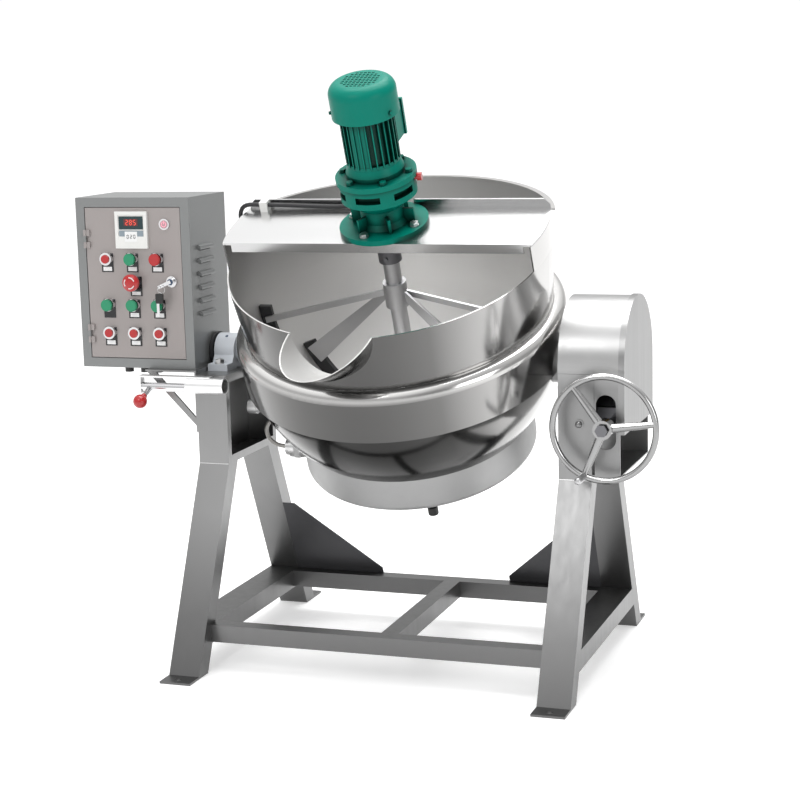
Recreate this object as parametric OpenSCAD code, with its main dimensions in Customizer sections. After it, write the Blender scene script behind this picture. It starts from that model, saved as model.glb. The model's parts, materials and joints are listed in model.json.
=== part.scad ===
// Tilting jacketed sugar cooking kettle on a two-leg stand.
// X runs from the cabinet side to the handwheel side, Y from front to back, Z up.
// The origin is on the floor, in the middle of the four floor bolts.

/* [Stand] */
// Clearance between the pot's ring and the posts
pot_clear = 14.5; // [10:0.5:30]
// Width of a leg and of a post along X
post_w = 75; // [66:1:76]
// Depth of a sloping leg along Y
leg_d = 50; // [40:1:56]
// Sheet thickness of the legs, posts and rails
frame_wall = 3; // [2:0.5:4]
// Half the depth of a post along Y
post_half = 141; // [120:1:160]
// Height where the legs meet the post
knee_z = 455; // [430:1:480]
// Height of the top of the posts
post_top = 663; // [640:1:690]
// Reach of the outer face of a leg at the floor
foot_reach = 352; // [330:1:380]
// Thickness of a foot plate
foot_t = 5; // [4:1:8]
// Length of the foot tab in front of the leg
foot_tab = 48; // [40:1:60]
// Diameter of the floor bolt holes
floor_hole_d = 14; // [10:1:18]
// Distance of a floor hole from the end of its tab
floor_hole_edge = 20; // [14:1:28]
// Section of the square base rails
rail_w = 40; // [30:1:45]
// Height of the top of the base rails
rail_top = 107; // [90:1:130]
// Outer face of the front rail, ahead of the centre
front_rail_y = 278; // [265:1:290]
// Where the cross member lies along X
cross_x = 27; // [-60:1:60]
// Height of the rear gussets above the rails
gusset_h = 205; // [120:1:230]
// Length of the rear gussets along the rear rail
gusset_l = 230; // [120:1:260]
// Sheet thickness of the rear gussets
gusset_t = 4; // [3:0.5:6]
// Width of the lip round the open side of the left post
post_lip = 18; // [12:1:26]

/* [Tilting gear] */
// Height of the trunnion axis above the posts
bearing_h = 39; // [36:1:48]
// Diameter of the trunnion shafts
trunnion_d = 40; // [30:1:46]
// Diameter of the trunnion bosses on the jacket
boss_d = 110; // [90:1:130]
// Length of a bearing block along X
bearing_l = 50; // [40:1:56]
// Half the length of a bearing base along Y
bearing_foot = 80; // [70:1:95]
// Thickness of a bearing base
bearing_base = 16; // [12:1:20]
// Gear module
gear_m = 5; // [5:1:5]
// Teeth on the worm wheel
wheel_teeth = 39; // [38:1:39]
// Pitch diameter of the worm
worm_pitch_d = 45; // [42:1:48]
// Face width of the worm wheel
wheel_face = 14; // [10:1:16]
// Tooth thickness at the pitch line
tooth_t = 6.6; // [6:0.1:7]
// Distance of the worm's middle plane from the post
worm_out = 40.5; // [38.5:0.5:42.5]
// Diameter of the worm's journals
journal_d = 25; // [20:1:28]
// Diameter of the worm shaft at the handwheel
wheel_seat_d = 20; // [16:1:24]
// Radial running clearance of shafts in their bores
fit = 0.05; // [0.02:0.01:0.09]

/* [Gear case] */
// How far the gear case's inner face lies behind the post's inner face
case_inset = 1.5; // [0.5:0.5:3.5]
// How far the arch cover stands out of the post
case_out = 63.5; // [61:0.5:66]
// Sheet thickness of the case
case_t = 3; // [2:0.5:3]
// Width of the slot for the worm shaft
slot_w = 44; // [40:1:46]
// Height of the slot
slot_h = 120; // [90:1:130]
// Bottom edge of the slotted plate
slot_plate_z = 465; // [460:1:500]
// How far the side cover stands out of the arch cover
cover_out = 10.5; // [8:0.5:14]
// Bottom edge of the outer side cover
side_cover_z = 560; // [520:1:600]

/* [Handwheel] */
// Outer diameter of the handwheel
handwheel_d = 240; // [200:1:260]
// Diameter of the rim's round section
rim_d = 14; // [10:1:18]
// Plane of the rim, ahead of the centre
handwheel_y = 198; // [194:1:225]
// Diameter of the hub
hub_d = 42; // [36:1:50]
// Length of the hub
hub_l = 34; // [28:1:40]
// Direction of the first spoke, from the side
spoke_turn = 7; // [0:1:30]
// Diameter of the turning grip
grip_d = 16; // [12:1:20]
// Length of the turning grip
grip_l = 46; // [30:1:60]

/* [Pot] */
// Forward tilt of the pot at rest, in degrees
rest_tilt = 22; // [10:1:30]
// Inner radius of the bowl's half ball
bowl_r = 350; // [340:1:352]
// How much wider the bowl is at its lip
lip_flare = 15; // [10:1:18]
// Sheet thickness of the bowl and of the jacket
pot_t = 3; // [2:0.5:4]
// Depth of the bowl's bottom below the trunnions
bowl_bottom = 232; // [226:1:240]
// Height of the front lip above the trunnions
front_lip_h = 266; // [250:1:280]
// Forward slope of the front lip, in degrees
lip_slope = 3; // [0:0.5:4]
// Height of the collar under the bridge plate
collar_h = 325; // [310:1:335]
// Slope of the collar's rear edge, in degrees
collar_slope = 10; // [5:1:14]
// Width of the turned-out lip of the rear collar
rear_lip_w = 10; // [6:1:14]
// Half width of the pouring spout
spout_w = 96; // [80:1:110]
// Reach of the spout ahead of the lip
spout_reach = 162; // [120:1:180]
// Depth of the spout's notch in the bowl wall
spout_notch = 100; // [80:1:110]
// Drop of the spout's tip below the lip
spout_drop = 17; // [8:1:30]
// How far the spout is turned to the cabinet side, in degrees
spout_turn = 3.5; // [0:0.5:6]
// Space between the bowl and the outside of the jacket
jacket_gap = 23; // [21:1:25]
// Depth of the jacket's ball below the bowl's bottom
jacket_drop = 56; // [52:1:60]
// How far the polished ring stands out of the jacket
ring_out = 4; // [2:1:5]
// Radius of the ring's rounded shoulder
shoulder_r = 25; // [20:1:26]
// How far the band at its lap lies inside the jacket's ball
lap_in = 1.5; // [0:0.5:4]
// Outer radius of the heater drum
drum_r = 274; // [260:1:285]
// Depth of the drum's bottom below the bowl's bottom
drum_drop = 20; // [14:1:30]
// Height of the heating elements above the drum's bottom
element_h = 40; // [36:1:44]
// Radius of the drum's bottom corner
drum_corner = 12; // [6:1:20]
// Distance from the drum's outside to the heating coil's middle line
coil_in = 42; // [34:1:54]
// Distance from the drum's outside to the drain
drain_in = 52; // [48:1:60]
// Diameter of the heating elements
element_d = 12; // [8:1:14]

/* [Bridge plate and drive] */
// Front edge of the bridge plate, ahead of the pot's axis
bridge_front = 88; // [86:1:100]
// Rear edge of the bridge plate, behind the pot's axis
bridge_rear = 92; // [88:1:100]
// Thickness of the bridge plate
bridge_t = 5; // [4:0.5:6]
// Depth of the front flange
bridge_flange = 22; // [15:1:30]
// Height of the rear upstand
bridge_upstand = 22; // [15:1:30]
// Radius of the gearbox's foot flange
foot_flange_r = 100; // [92:1:104]
// Thickness of the foot flange
foot_flange_t = 12; // [8:1:16]
// Radius of the gearbox's neck
neck_r = 49; // [40:1:54]
// Radius of the pin ring housing
housing_r = 85; // [78:1:90]
// Height of the pin ring housing
housing_h = 42; // [36:1:50]
// Width of the windows in the ring housing
window_w = 56; // [30:1:60]
// Height of the windows in the ring housing
window_h = 15; // [10:1:24]
// Radius of the motor flange
motor_flange_r = 90; // [86:1:96]
// Radius over the motor's cooling fins
fin_r = 60; // [56:1:64]
// Number of cooling fins
fin_count = 26; // [20:1:32]
// Width of the smooth pad on the front of the motor
pad_w = 36; // [24:1:44]
// Radius of the fan cowl
cowl_r = 74; // [70:1:78]
// Height of the fan cowl
cowl_h = 77; // [70:1:90]

/* [Agitator] */
// Diameter of the agitator shaft
stir_d = 38; // [30:1:42]
// Diameter of the gearbox's output shaft
output_d = 32; // [26:1:34]
// Height of the agitator's arms above the trunnions
arm_h = 165; // [150:1:180]
// Width of the flat paddle arms
paddle_w = 47; // [36:1:56]
// Thickness of the agitator's flat bars
arm_t = 6; // [5:1:8]
// Direction of the first wide paddle, seen from above
paddle_turn = 163; // [155:1:165]
// Direction of the first thin arm
thin_turn = 180; // [180:1:190]
// Direction of the first bottom bar
bottom_turn = 75; // [60:1:90]
// Gap between the scrapers and the bowl
scraper_gap = 2; // [1:0.5:4]

/* [Control cabinet] */
// Width of the cabinet
cab_w = 292; // [288:1:310]
// Depth of the cabinet
cab_d = 200; // [190:1:220]
// Height of the cabinet
cab_h = 400; // [390:1:410]
// Gap between the cabinet and the left post
cab_gap = 10.5; // [8.5:0.5:14.5]
// Front face of the cabinet
cab_front = -120; // [-124:1:-116]
// Underside of the cabinet
cab_z = 672; // [670:1:680]
// Sheet thickness of the cabinet
cab_t = 2; // [1.5:0.5:2.5]
// Width of the frame round the door
cab_border = 22; // [18:1:26]
// Depth of the door's folded edge
door_d = 14; // [12:1:16]
// Gap round the door
door_gap = 1.5; // [1:0.5:2]
// Diameter of the button caps
button_d = 20; // [18:1:20]
// Diameter of the button bezels
bezel_d = 30; // [27:1:32]
// Travel of a push button
button_travel = 3; // [2:0.5:4]
// Diameter of the stop button's mushroom head
stop_d = 40; // [34:1:42]
// Width of the temperature controller's bezel
controller_w = 82; // [76:1:86]
// Height of the temperature controller's bezel
controller_h = 86; // [76:1:88]

/* [Tilt lock] */
// Diameter of the lock bolt
bolt_d = 20; // [16:1:24]
// Diameter of the lock sleeve
sleeve_d = 38; // [34:1:42]
// Diameter of the ball knob
knob_d = 32; // [26:1:36]
// Height of the lock bolt
lock_z = 642; // [636:1:644]

/* [Motor lead] */
// Diameter of the motor lead
lead_d = 10; // [8:1:10]

/* [Hidden] */
$fn = 64;

eps = 0.01;
seat_gap = 0.1;
pivot_z = post_top + bearing_h;
jacket_r = bowl_r + pot_t + jacket_gap;
ring_r = jacket_r + ring_out;
lap_r = jacket_r - lap_in;
lip_r = bowl_r + lip_flare;
bowl_c = bowl_r - bowl_bottom;
jacket_c = jacket_r - bowl_bottom - jacket_drop;
drum_z = bowl_bottom + drum_drop;
coil_r = drum_r - coil_in;
post_in = ring_r + pot_clear;
post_out = post_in + post_w;
stand_span = post_in + post_out;
worm_x = post_out + worm_out;
case_x0 = post_in + case_inset;
case_x1 = post_out + case_out;
cab_right = -post_out - cab_gap;
steel = [0.62, 0.63, 0.64];
polished = [0.78, 0.78, 0.8];
green = [0.0, 0.47, 0.37];
black = [0.08, 0.08, 0.09];

// Flat shapes are drawn in Y and Z and run along X, or in X and Z and run along Y.
module along_x(x0, len) translate([x0, 0, 0]) rotate([90, 0, 90]) linear_extrude(len) children();
module along_y(y0, len) translate([0, y0 + len, 0]) rotate([90, 0, 0]) linear_extrude(len) children();
module rod_x(x0, len, r) translate([x0, 0, 0]) rotate([0, 90, 0]) cylinder(h = len, r = r);
module rod_y(y0, len, r) translate([0, y0, 0]) rotate([-90, 0, 0]) cylinder(h = len, r = r);
module on_pot() translate([0, 0, pivot_z]) rotate([rest_tilt, 0, 0]) children();
module ring_of(n, r, turn = 0) for (i = [0:n - 1]) rotate([0, 0, turn + i * 360 / n])
    translate([r, 0, 0]) children();

// Half depth of the A-frame's outline at a height
function leg_out(z) = foot_reach - (foot_reach - post_half) * z / knee_z;
leg_skin = frame_wall / cos(atan((foot_reach - post_half) / knee_z));
rail_z = rail_top - rail_w;
side_rail_z = rail_z - 4;
floor_hole_y = foot_reach + foot_tab - floor_hole_edge;

module leg_outline(s, skin, z0, z1)
    polygon([[s * (leg_out(z0) - skin), z0], [s * (leg_out(z1) - skin), z1],
             [s * (leg_out(z1) - leg_d + skin), z1], [s * (leg_out(z0) - leg_d + skin), z0]]);

module side_rail_outline(skin, grow)
    polygon([[-leg_out(side_rail_z + skin) + leg_d - grow, side_rail_z + skin],
             [-leg_out(rail_top - skin) + leg_d - grow, rail_top - skin],
             [leg_out(rail_top - skin) - leg_d + grow, rail_top - skin],
             [leg_out(side_rail_z + skin) - leg_d + grow, side_rail_z + skin]]);

// side is -1 for the left frame and 1 for the right; open_side faces the middle of the stand
module a_frame(side, open_side) {
    translate([side * stand_span / 2, 0, 0]) difference() {
        union() {
            for (s = [-1, 1]) {
                along_x(-post_w / 2, post_w) leg_outline(s, 0, foot_t, knee_z);
                translate([-post_w / 2, s > 0 ? leg_out(0) - leg_d : -leg_out(0) - foot_tab, 0])
                    cube([post_w, leg_d + foot_tab, foot_t]);
            }
            along_x(-post_w / 2, post_w) side_rail_outline(0, 1);
            translate([-post_w / 2, -post_half, knee_z]) cube([post_w, 2 * post_half, post_top - knee_z]);
        }
        for (s = [-1, 1]) {
            along_x(-post_w / 2 + frame_wall, post_w - 2 * frame_wall)
                leg_outline(s, leg_skin, foot_t, knee_z);
            translate([0, s * floor_hole_y, -1]) cylinder(h = foot_t + 2, d = floor_hole_d);
        }
        along_x(-post_w / 2 + frame_wall, post_w - 2 * frame_wall) side_rail_outline(frame_wall, 0);
        translate([-post_w / 2 + frame_wall, -post_half + frame_wall, knee_z + frame_wall])
            cube([post_w - 2 * frame_wall, 2 * (post_half - frame_wall), post_top - knee_z - 2 * frame_wall]);
        if (open_side)
            translate([0, -post_half + post_lip, knee_z + post_lip])
                cube([post_w, 2 * (post_half - post_lip), post_top - knee_z - 2 * post_lip]);
    }
}

module left_a_frame() { color(steel) a_frame(-1, true); }
module right_a_frame() { color(steel) a_frame(1, false); }

// The rear rail's outer face lines up with the gussets, which stand on it.
rear_rail_y = leg_out(rail_top) - leg_d + gusset_t;

module hollow_rail(size) difference() {
    cube(size);
    if (size[0] > size[1])
        translate([-1, frame_wall, frame_wall])
            cube([size[0] + 2, size[1] - 2 * frame_wall, size[2] - 2 * frame_wall]);
    else
        translate([frame_wall, -1, frame_wall])
            cube([size[0] - 2 * frame_wall, size[1] + 2, size[2] - 2 * frame_wall]);
}

module base_frame() {
    cross_y0 = -front_rail_y + rail_w - frame_wall / 2;
    cross_y1 = rear_rail_y - rail_w + frame_wall / 2;
    color(steel) {
        translate([-post_in, -front_rail_y, rail_z]) hollow_rail([2 * post_in, rail_w, rail_w]);
        translate([-post_in, rear_rail_y - rail_w, rail_z]) hollow_rail([2 * post_in, rail_w, rail_w]);
        translate([cross_x - rail_w / 2, cross_y0, rail_z]) hollow_rail([rail_w, cross_y1 - cross_y0, rail_w]);
    }
}

// Sheet triangles between the rear legs and the rear rail, in the slope of the legs
module rear_gussets() {
    slope = atan((foot_reach - post_half) / knee_z);
    y0 = leg_out(rail_top) - leg_d;
    color([0.27, 0.27, 0.28]) intersection() {
        for (s = [-1, 1]) translate([0, y0, rail_top]) rotate([slope, 0, 0]) rotate([90, 0, 0])
            translate([0, 0, -gusset_t * cos(slope)]) linear_extrude(gusset_t * cos(slope))
            polygon([[s * post_in, -10], [s * post_in, gusset_h], [s * (post_in - 30), gusset_h],
                     [s * (post_in - gusset_l), 14], [s * (post_in - gusset_l), -10]]);
        translate([-post_in, 0, rail_top]) cube([2 * post_in, foot_reach, gusset_h]);
    }
}

// Bearing block: foot, cheeks and crown, with a raised insert ring round the bore
module bearing_block() {
    difference() {
        union() {
            along_x(-bearing_l / 2, bearing_l) {
                difference() {
                    translate([-bearing_foot, post_top]) square([2 * bearing_foot, bearing_base]);
                    translate([-bearing_foot / 3, post_top - 1]) square([bearing_foot / 1.5, 4]);
                }
                translate([0, pivot_z]) circle(r = bearing_h + 2);
                polygon([[-bearing_h - 12, post_top + bearing_base], [-bearing_h + 2, pivot_z],
                         [bearing_h - 2, pivot_z], [bearing_h + 12, post_top + bearing_base]]);
            }
            translate([0, 0, pivot_z]) rod_x(-bearing_l / 2 - 3, bearing_l + 6, trunnion_d / 2 + 7);
        }
        translate([-bearing_l / 2, -bearing_foot, post_top - 10]) cube([bearing_l, 2 * bearing_foot, 10]);
        translate([0, 0, pivot_z]) rod_x(-bearing_l, 2 * bearing_l, trunnion_d / 2 + fit);
        for (s = [-1, 1]) translate([0, s * bolt_y, post_top - 1]) cylinder(h = bearing_base + 2, d = 13);
    }
}
bolt_y = bearing_foot - 14;
bearing_x = stand_span / 2 + 10;

module trunnion_bearings() {
    color([0.72, 0.74, 0.77]) for (s = [-1, 1]) translate([s * bearing_x, 0, 0]) bearing_block();
}

module bearing_bolts() {
    color([0.7, 0.7, 0.7]) for (s = [-1, 1], k = [-1, 1]) translate([s * bearing_x, k * bolt_y, 0]) {
        translate([0, 0, post_top]) cylinder(h = bearing_base + 12, d = 12);
        translate([0, 0, post_top + bearing_base]) cylinder(h = 2.5, d = 24);
        translate([0, 0, post_top + bearing_base + 2.5]) cylinder(h = 7.5, d = 19 / cos(30), $fn = 6);
    }
}

// Rubber end cap between the left bearing and the cabinet
cap_r = 42;
module bearing_cap() {
    x0 = cab_right + 0.3;
    x1 = -bearing_x - bearing_l / 2 - 3;
    color(black) translate([0, 0, pivot_z]) difference() {
        union() {
            rod_x(x0, x1 - x0, cap_r);
            rod_x(x1 - 4, 4, cap_r + 2);
        }
        rod_x(x0 + 3, x1 - x0, trunnion_d / 2 + 1);
    }
}

case_half = post_half + case_t;
worm_centre = gear_m * wheel_teeth / 2 + worm_pitch_d / 2;
worm_z = pivot_z - worm_centre;
slot_x = worm_x - 8;
cover_seam_x = post_out + 7;
seam_z = pivot_z - 12;

module arch(r, z0) {
    intersection() {
        translate([0, pivot_z]) circle(r = r, $fn = 96);
        translate([-r - 1, z0]) square([2 * r + 2, pivot_z + r]);
    }
    translate([-r, z0]) square([2 * r, pivot_z - z0]);
}

// Arch hood over the bearing and the worm wheel, with the slotted plate below it
module gear_case() {
    color(steel) {
        difference() {
            along_x(case_x0, case_x1 - case_x0) intersection() {
                arch(case_half, slot_plate_z);
                translate([-case_half, seam_z]) square([2 * case_half, 2 * case_half]);
            }
            along_x(case_x0 + case_t, case_x1) arch(case_half - case_t, slot_plate_z);
            translate([0, 0, pivot_z]) rod_x(case_x0 - 1, case_t + 2, trunnion_d / 2 + 14);
        }
        difference() {
            along_x(case_x0, case_t) arch(case_half - case_t, post_top);
            translate([0, 0, seam_z]) translate([case_x0 - 1, -case_half, 0])
                cube([case_t + 2, 2 * case_half, 2 * case_half]);
            translate([0, 0, pivot_z]) rod_x(case_x0 - 1, case_t + 2, trunnion_d / 2 + 14);
        }
        difference() {
            translate([cover_seam_x, -case_half, slot_plate_z])
                cube([case_x1 - cover_seam_x, case_t, seam_z - slot_plate_z]);
            along_y(-case_half - 1, case_t + 2) for (s = [-1, 1])
                translate([slot_x, worm_z + 4 + s * (slot_h - slot_w) / 2]) circle(d = slot_w);
            translate([slot_x - slot_w / 2, -case_half - 1, worm_z + 4 - (slot_h - slot_w) / 2])
                cube([slot_w, case_t + 2, slot_h - slot_w]);
        }
        translate([case_x0, case_half - case_t, slot_plate_z])
            cube([case_x1 - case_x0, case_t, seam_z - slot_plate_z]);
        difference() {
            translate([post_out, -case_half + case_t, slot_plate_z]) cube([case_x1 - post_out, 2 * post_half, case_t]);
        }
    }
}

// Pan-shaped side cover, its rim lapping the hood
cover_lap = 3;
module gear_side_cover() {
    color(steel) difference() {
        along_x(case_x1 - cover_lap, cover_lap + cover_out) arch(case_half + seat_gap + case_t, side_cover_z);
        along_x(case_x1 - cover_lap - 1, cover_lap + 1 + cover_out - case_t)
            arch(case_half + seat_gap, side_cover_z - 1);
    }
}

// Flat cover on the front of the post, below the seam, with its dome bolt
module gear_front_cover() {
    x0 = case_x0;
    x1 = cover_seam_x - 0.5;
    z0 = worm_z - 39;
    color(steel) {
        translate([x0, -case_half, z0]) cube([x1 - x0, case_t, seam_z - 0.5 - z0]);
        translate([stand_span / 2 + 10, 0, worm_z - 2]) {
            rod_y(-case_half - 2, 2, 11);
            translate([0, -case_half - 2, 0]) intersection() {
                sphere(r = 8);
                translate([-9, -9, -9]) cube([18, 9, 18]);
            }
        }
    }
}

// Two plates on the side of the post that carry the worm shaft
worm_len = 80;
thrust_y = worm_len / 2 + 16;
worm_plate_t = 20;
module worm_bearings() {
    color([0.5, 0.51, 0.52]) for (s = [-1, 1]) difference() {
        along_y(s > 0 ? thrust_y + 8.3 : -thrust_y - 8.3 - worm_plate_t, worm_plate_t) {
            translate([post_out, worm_z - 26]) square([worm_x - post_out, 52]);
            translate([worm_x, worm_z]) intersection() {
                circle(r = 26);
                translate([-26, -26]) square([45, 52]);
            }
        }
        translate([worm_x, 0, worm_z]) rod_y(-thrust_y * 3, thrust_y * 6, journal_d / 2 + fit);
    }
}

// Worm: one right-hand thread with straight flanks, centred on a gap of the wheel at rest
thread_turns = 4;
thread_steps = 24;
addendum = gear_m - 0.5;
dedendum = gear_m + 0.5;
pitch = PI * gear_m;
flank = tan(20);

function thread_ring(i) = let (a = 360 * i / thread_steps, y = pitch * (i / thread_steps - thread_turns / 2),
    r0 = worm_pitch_d / 2 - dedendum - 1, r1 = worm_pitch_d / 2 + addendum,
    w0 = tooth_t / 2 + (dedendum + 1) * flank, w1 = tooth_t / 2 - addendum * flank)
    [for (p = [[r0, -w0], [r1, -w1], [r1, w1], [r0, w0]]) [p[0] * cos(a), p[0] * sin(a), y + p[1]]];

module sweep(rings) {
    n = len(rings);
    m = len(rings[0]);
    pts = [for (r = rings) for (p = r) p];
    side = [for (i = [0:n - 2], j = [0:m - 1]) let (a = i * m + j, b = i * m + (j + 1) % m)
        each [[a, b, a + m], [b, b + m, a + m]]];
    polyhedron(points = pts, faces = concat([[for (j = [m - 1:-1:0]) j]],
        [[for (j = [0:m - 1]) (n - 1) * m + j]], side));
}

module worm_shaft() {
    root = worm_pitch_d / 2 - dedendum;
    front = -handwheel_y - hub_l / 2 - 6;
    color([0.5, 0.5, 0.52]) translate([worm_x, 0, worm_z]) {
        rod_y(-thrust_y - 8 - worm_plate_t - 6, 2 * (thrust_y + 8 + worm_plate_t + 6), journal_d / 2);
        rod_y(-worm_len / 2, worm_len, root);
        for (s = [-1, 1]) rod_y(s > 0 ? thrust_y : -thrust_y - 8, 8, journal_d / 2 + 6);
        rod_y(front, -front, wheel_seat_d / 2);
        rod_y(front - 5, 5, wheel_seat_d / 2 + 4, $fn = 6);
        rotate([-90, 0, 0]) rotate([0, 0, 270])
            sweep([for (i = [0:thread_turns * thread_steps]) thread_ring(i)]);
    }
}

module worm_wheel() {
    pr = gear_m * wheel_teeth / 2;
    root = pr - dedendum;
    tip = pr + addendum;
    w_root = tooth_t / 2 + dedendum * flank;
    w_tip = tooth_t / 2 - addendum * flank;
    step = 360 / wheel_teeth;
    color([0.72, 0.6, 0.32]) translate([0, 0, pivot_z]) rotate([rest_tilt, 0, 0]) difference() {
        union() {
            rotate([-rest_tilt + step / 2, 0, 0]) along_x(worm_x - wheel_face / 2, wheel_face)
                polygon([for (i = [0:wheel_teeth - 1]) each [for (p = [[root, -w_root], [tip, -w_tip],
                    [tip, w_tip], [root, w_root]]) let (a = i * step - 90)
                    [p[0] * cos(a) - p[1] * sin(a), p[0] * sin(a) + p[1] * cos(a)]]]);
            rod_x(worm_x - 15, 30, 34);
        }
        rod_x(worm_x - 20, 40, trunnion_d / 2 + fit);
        for (s = [0:5]) rotate([s * 60, 0, 0]) translate([0, 0, (root + 34) / 2])
            rod_x(worm_x - wheel_face, 2 * wheel_face, 19);
    }
}

// Handwheel: round rim, three tapered spokes and a hub
module handwheel() {
    rim_r = handwheel_d / 2 - rim_d / 2;
    color([0.75, 0.75, 0.76]) translate([worm_x, -handwheel_y, worm_z]) difference() {
        union() {
            rotate([90, 0, 0]) rotate_extrude($fn = 96) translate([rim_r, 0]) circle(d = rim_d, $fn = 32);
            rod_y(-hub_l / 2, hub_l, hub_d / 2);
            for (i = [0:2]) rotate([0, -spoke_turn - 120 * i, 0]) translate([hub_d / 2 - 4, 0, 0])
                rotate([0, 90, 0]) cylinder(h = rim_r - hub_d / 2 + 4, r1 = 10, r2 = 6.5);
        }
        rod_y(-hub_l, 2 * hub_l, wheel_seat_d / 2 + fit);
        grip_place() rod_y(-rim_d, 2 * rim_d, grip_pin_d / 2 + 0.1);
    }
}
grip_pin_d = 7;
module grip_place() {
    rim_r = handwheel_d / 2 - rim_d / 2;
    rotate([0, -spoke_turn - 240, 0]) translate([rim_r, 0, 0]) children();
}

// Grip that spins on a pin through the rim
module wheel_grip() {
    color([0.7, 0.7, 0.71]) translate([worm_x, -handwheel_y, worm_z]) grip_place() {
        rod_y(-rim_d / 2 - 0.3 - grip_l, grip_l, grip_d / 2);
        translate([0, -rim_d / 2 - 0.3 - grip_l, 0]) sphere(d = grip_d);
        rod_y(-rim_d, 2 * rim_d - 4, grip_pin_d / 2);
        rod_y(rim_d / 2 + 0.3, 3, grip_pin_d / 2 + 3);
    }
}

// Pot: outline of the bowl, grown by a thickness
module bowl_outline(t) {
    intersection() {
        translate([0, bowl_c]) circle(r = bowl_r + t, $fn = 128);
        translate([0, bowl_c - bowl_r - t - 1]) square([bowl_r + t + 1, bowl_r + t + 1]);
    }
    polygon([[0, bowl_c - 1], [bowl_r + t, bowl_c - 1], [bowl_r + t, bowl_c], [lip_r + t, front_lip_h],
             [lip_r + t, collar_h + 1], [0, collar_h + 1]]);
}
function bowl_wall_r(h) = bowl_r + (lip_r - bowl_r) * (h - bowl_c) / (front_lip_h - bowl_c);

module front_half() translate([0, -bridge_front, front_lip_h]) rotate([lip_slope, 0, 0])
    translate([-500, -500, 0]) cube([1000, 500, 500]);
spout_h = front_lip_h - (lip_r - bridge_front) * tan(lip_slope);
module rear_slope() translate([0, bridge_rear + 3, collar_h]) rotate([-collar_slope, 0, 0])
    translate([-500, 0, 0]) cube([1000, 600, 300]);

function notch_pt(b, w, d) = [w * sin(b), spout_h - d * cos(b)];
module spout_notch() rotate([0, 0, -spout_turn]) translate([0, -lip_r + 80, 0]) rotate([90, 0, 0]) linear_extrude(200)
    polygon(concat([for (i = [-12:12]) notch_pt(i * 7.5, spout_w - pot_t, spout_notch - pot_t)],
        [[spout_w - pot_t, spout_h + 60], [-spout_w + pot_t, spout_h + 60]]));

module inner_bowl() {
    color(polished) on_pot() {
        difference() {
            rotate_extrude($fn = 128) difference() {
                bowl_outline(pot_t);
                bowl_outline(0);
                translate([-1, collar_h]) square([lip_r + 20, 10]);
                translate([-10, -500]) square([10, 1000]);
            }
            front_half();
            rear_slope();
            spout_notch();
        }
        difference() {
            intersection() {
                translate([0, bridge_rear + 3, collar_h]) rotate([-collar_slope, 0, 0])
                    translate([-500, 0, -pot_t]) cube([1000, 600, pot_t]);
                cylinder(h = 500, r = lip_r + pot_t + rear_lip_w, $fn = 128);
            }
            cylinder(h = 500, r = lip_r + pot_t - 1, $fn = 128);
        }
    }
}

// Pouring spout: a sheet from the notch in the wall to a curved lip
spout_b = 20;
spout_v = 5;
function spout_root(b, inset) = let (x = (spout_w - inset) * sin(b),
    h = spout_h - (spout_notch - inset) * cos(b), r = bowl_wall_r(h) - 8)
    [x, -sqrt(r * r - x * x), h];
function spout_lip(b, inset) = [(spout_w - inset) * sin(b),
    -bowl_wall_r(spout_h) - (spout_reach - inset) * cos(b) + 10, spout_h - spout_drop * cos(b)];
function spout_pt(b, v, inset) = spout_root(b, inset) * (1 - v) + spout_lip(b, inset) * v
    + [0, -14, -10] * sin(180 * v) * cos(b) * (1 - v);

module pouring_spout() {
    cols = 2 * spout_b + 1;
    outer = [for (v = [0:spout_v], i = [-spout_b:spout_b]) spout_pt(i * 90 / spout_b, v / spout_v, 0)];
    inner = [for (v = [0:spout_v], i = [-spout_b:spout_b])
        spout_pt(i * 90 / spout_b, v / spout_v, pot_t) + [0, 0, v == 0 ? 0.2 : 0]];
    n = len(outer);
    skin = [for (v = [0:spout_v - 1], i = [0:cols - 2]) let (a = v * cols + i) each
        [[a, a + 1, a + cols], [a + 1, a + cols + 1, a + cols]]];
    edge = concat([for (i = [0:cols - 1]) i], [for (v = [1:spout_v]) v * cols + cols - 1],
        [for (i = [cols - 2:-1:0]) spout_v * cols + i], [for (v = [spout_v - 1:-1:1]) v * cols]);
    rim = [for (k = [0:len(edge) - 1]) let (a = edge[k], b = edge[(k + 1) % len(edge)]) each
        [[b, a, a + n], [b, a + n, b + n]]];
    color(polished) on_pot() rotate([0, 0, -spout_turn]) difference() {
        polyhedron(points = concat(outer, inner), faces = concat(skin,
            [for (f = skin) [f[2] + n, f[1] + n, f[0] + n]], rim));
        rotate_extrude($fn = 128) polygon([[0, bowl_c], [bowl_r + pot_t + seat_gap, bowl_c],
            [lip_r + pot_t + seat_gap, front_lip_h], [lip_r + pot_t + seat_gap, collar_h], [0, collar_h]]);
    }
}

// Jacket: rounded ring, band with its lap, and the half ball below
ring_h = jacket_c + 5;
lap_h = -2;
module jacket_outline(t) {
    translate([ring_r - shoulder_r, ring_h]) intersection() {
        circle(r = shoulder_r + t);
        square(shoulder_r + t + 1);
    }
    translate([0, ring_h]) square([ring_r - shoulder_r, shoulder_r + t]);
    polygon([[0, lap_h - t], [lap_r + t, lap_h - t], [ring_r + t, ring_h], [0, ring_h]]);
    intersection() {
        translate([0, jacket_c]) circle(r = jacket_r + t, $fn = 128);
        translate([0, jacket_c - jacket_r - 20]) square([jacket_r + 20, jacket_r + 20 - jacket_c + lap_h - t]);
    }
}
module jacket_solid(t) rotate_extrude($fn = 128) jacket_outline(t);

module outer_jacket() {
    color(polished) on_pot() rotate_extrude($fn = 128) difference() {
        jacket_outline(0);
        jacket_outline(-pot_t);
        translate([-10, -500]) square([drum_r - 8 + 10, 500]);
        translate([-10, 0]) square([bowl_r + pot_t + 0.5 + 10, 500]);
    }
}

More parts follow.
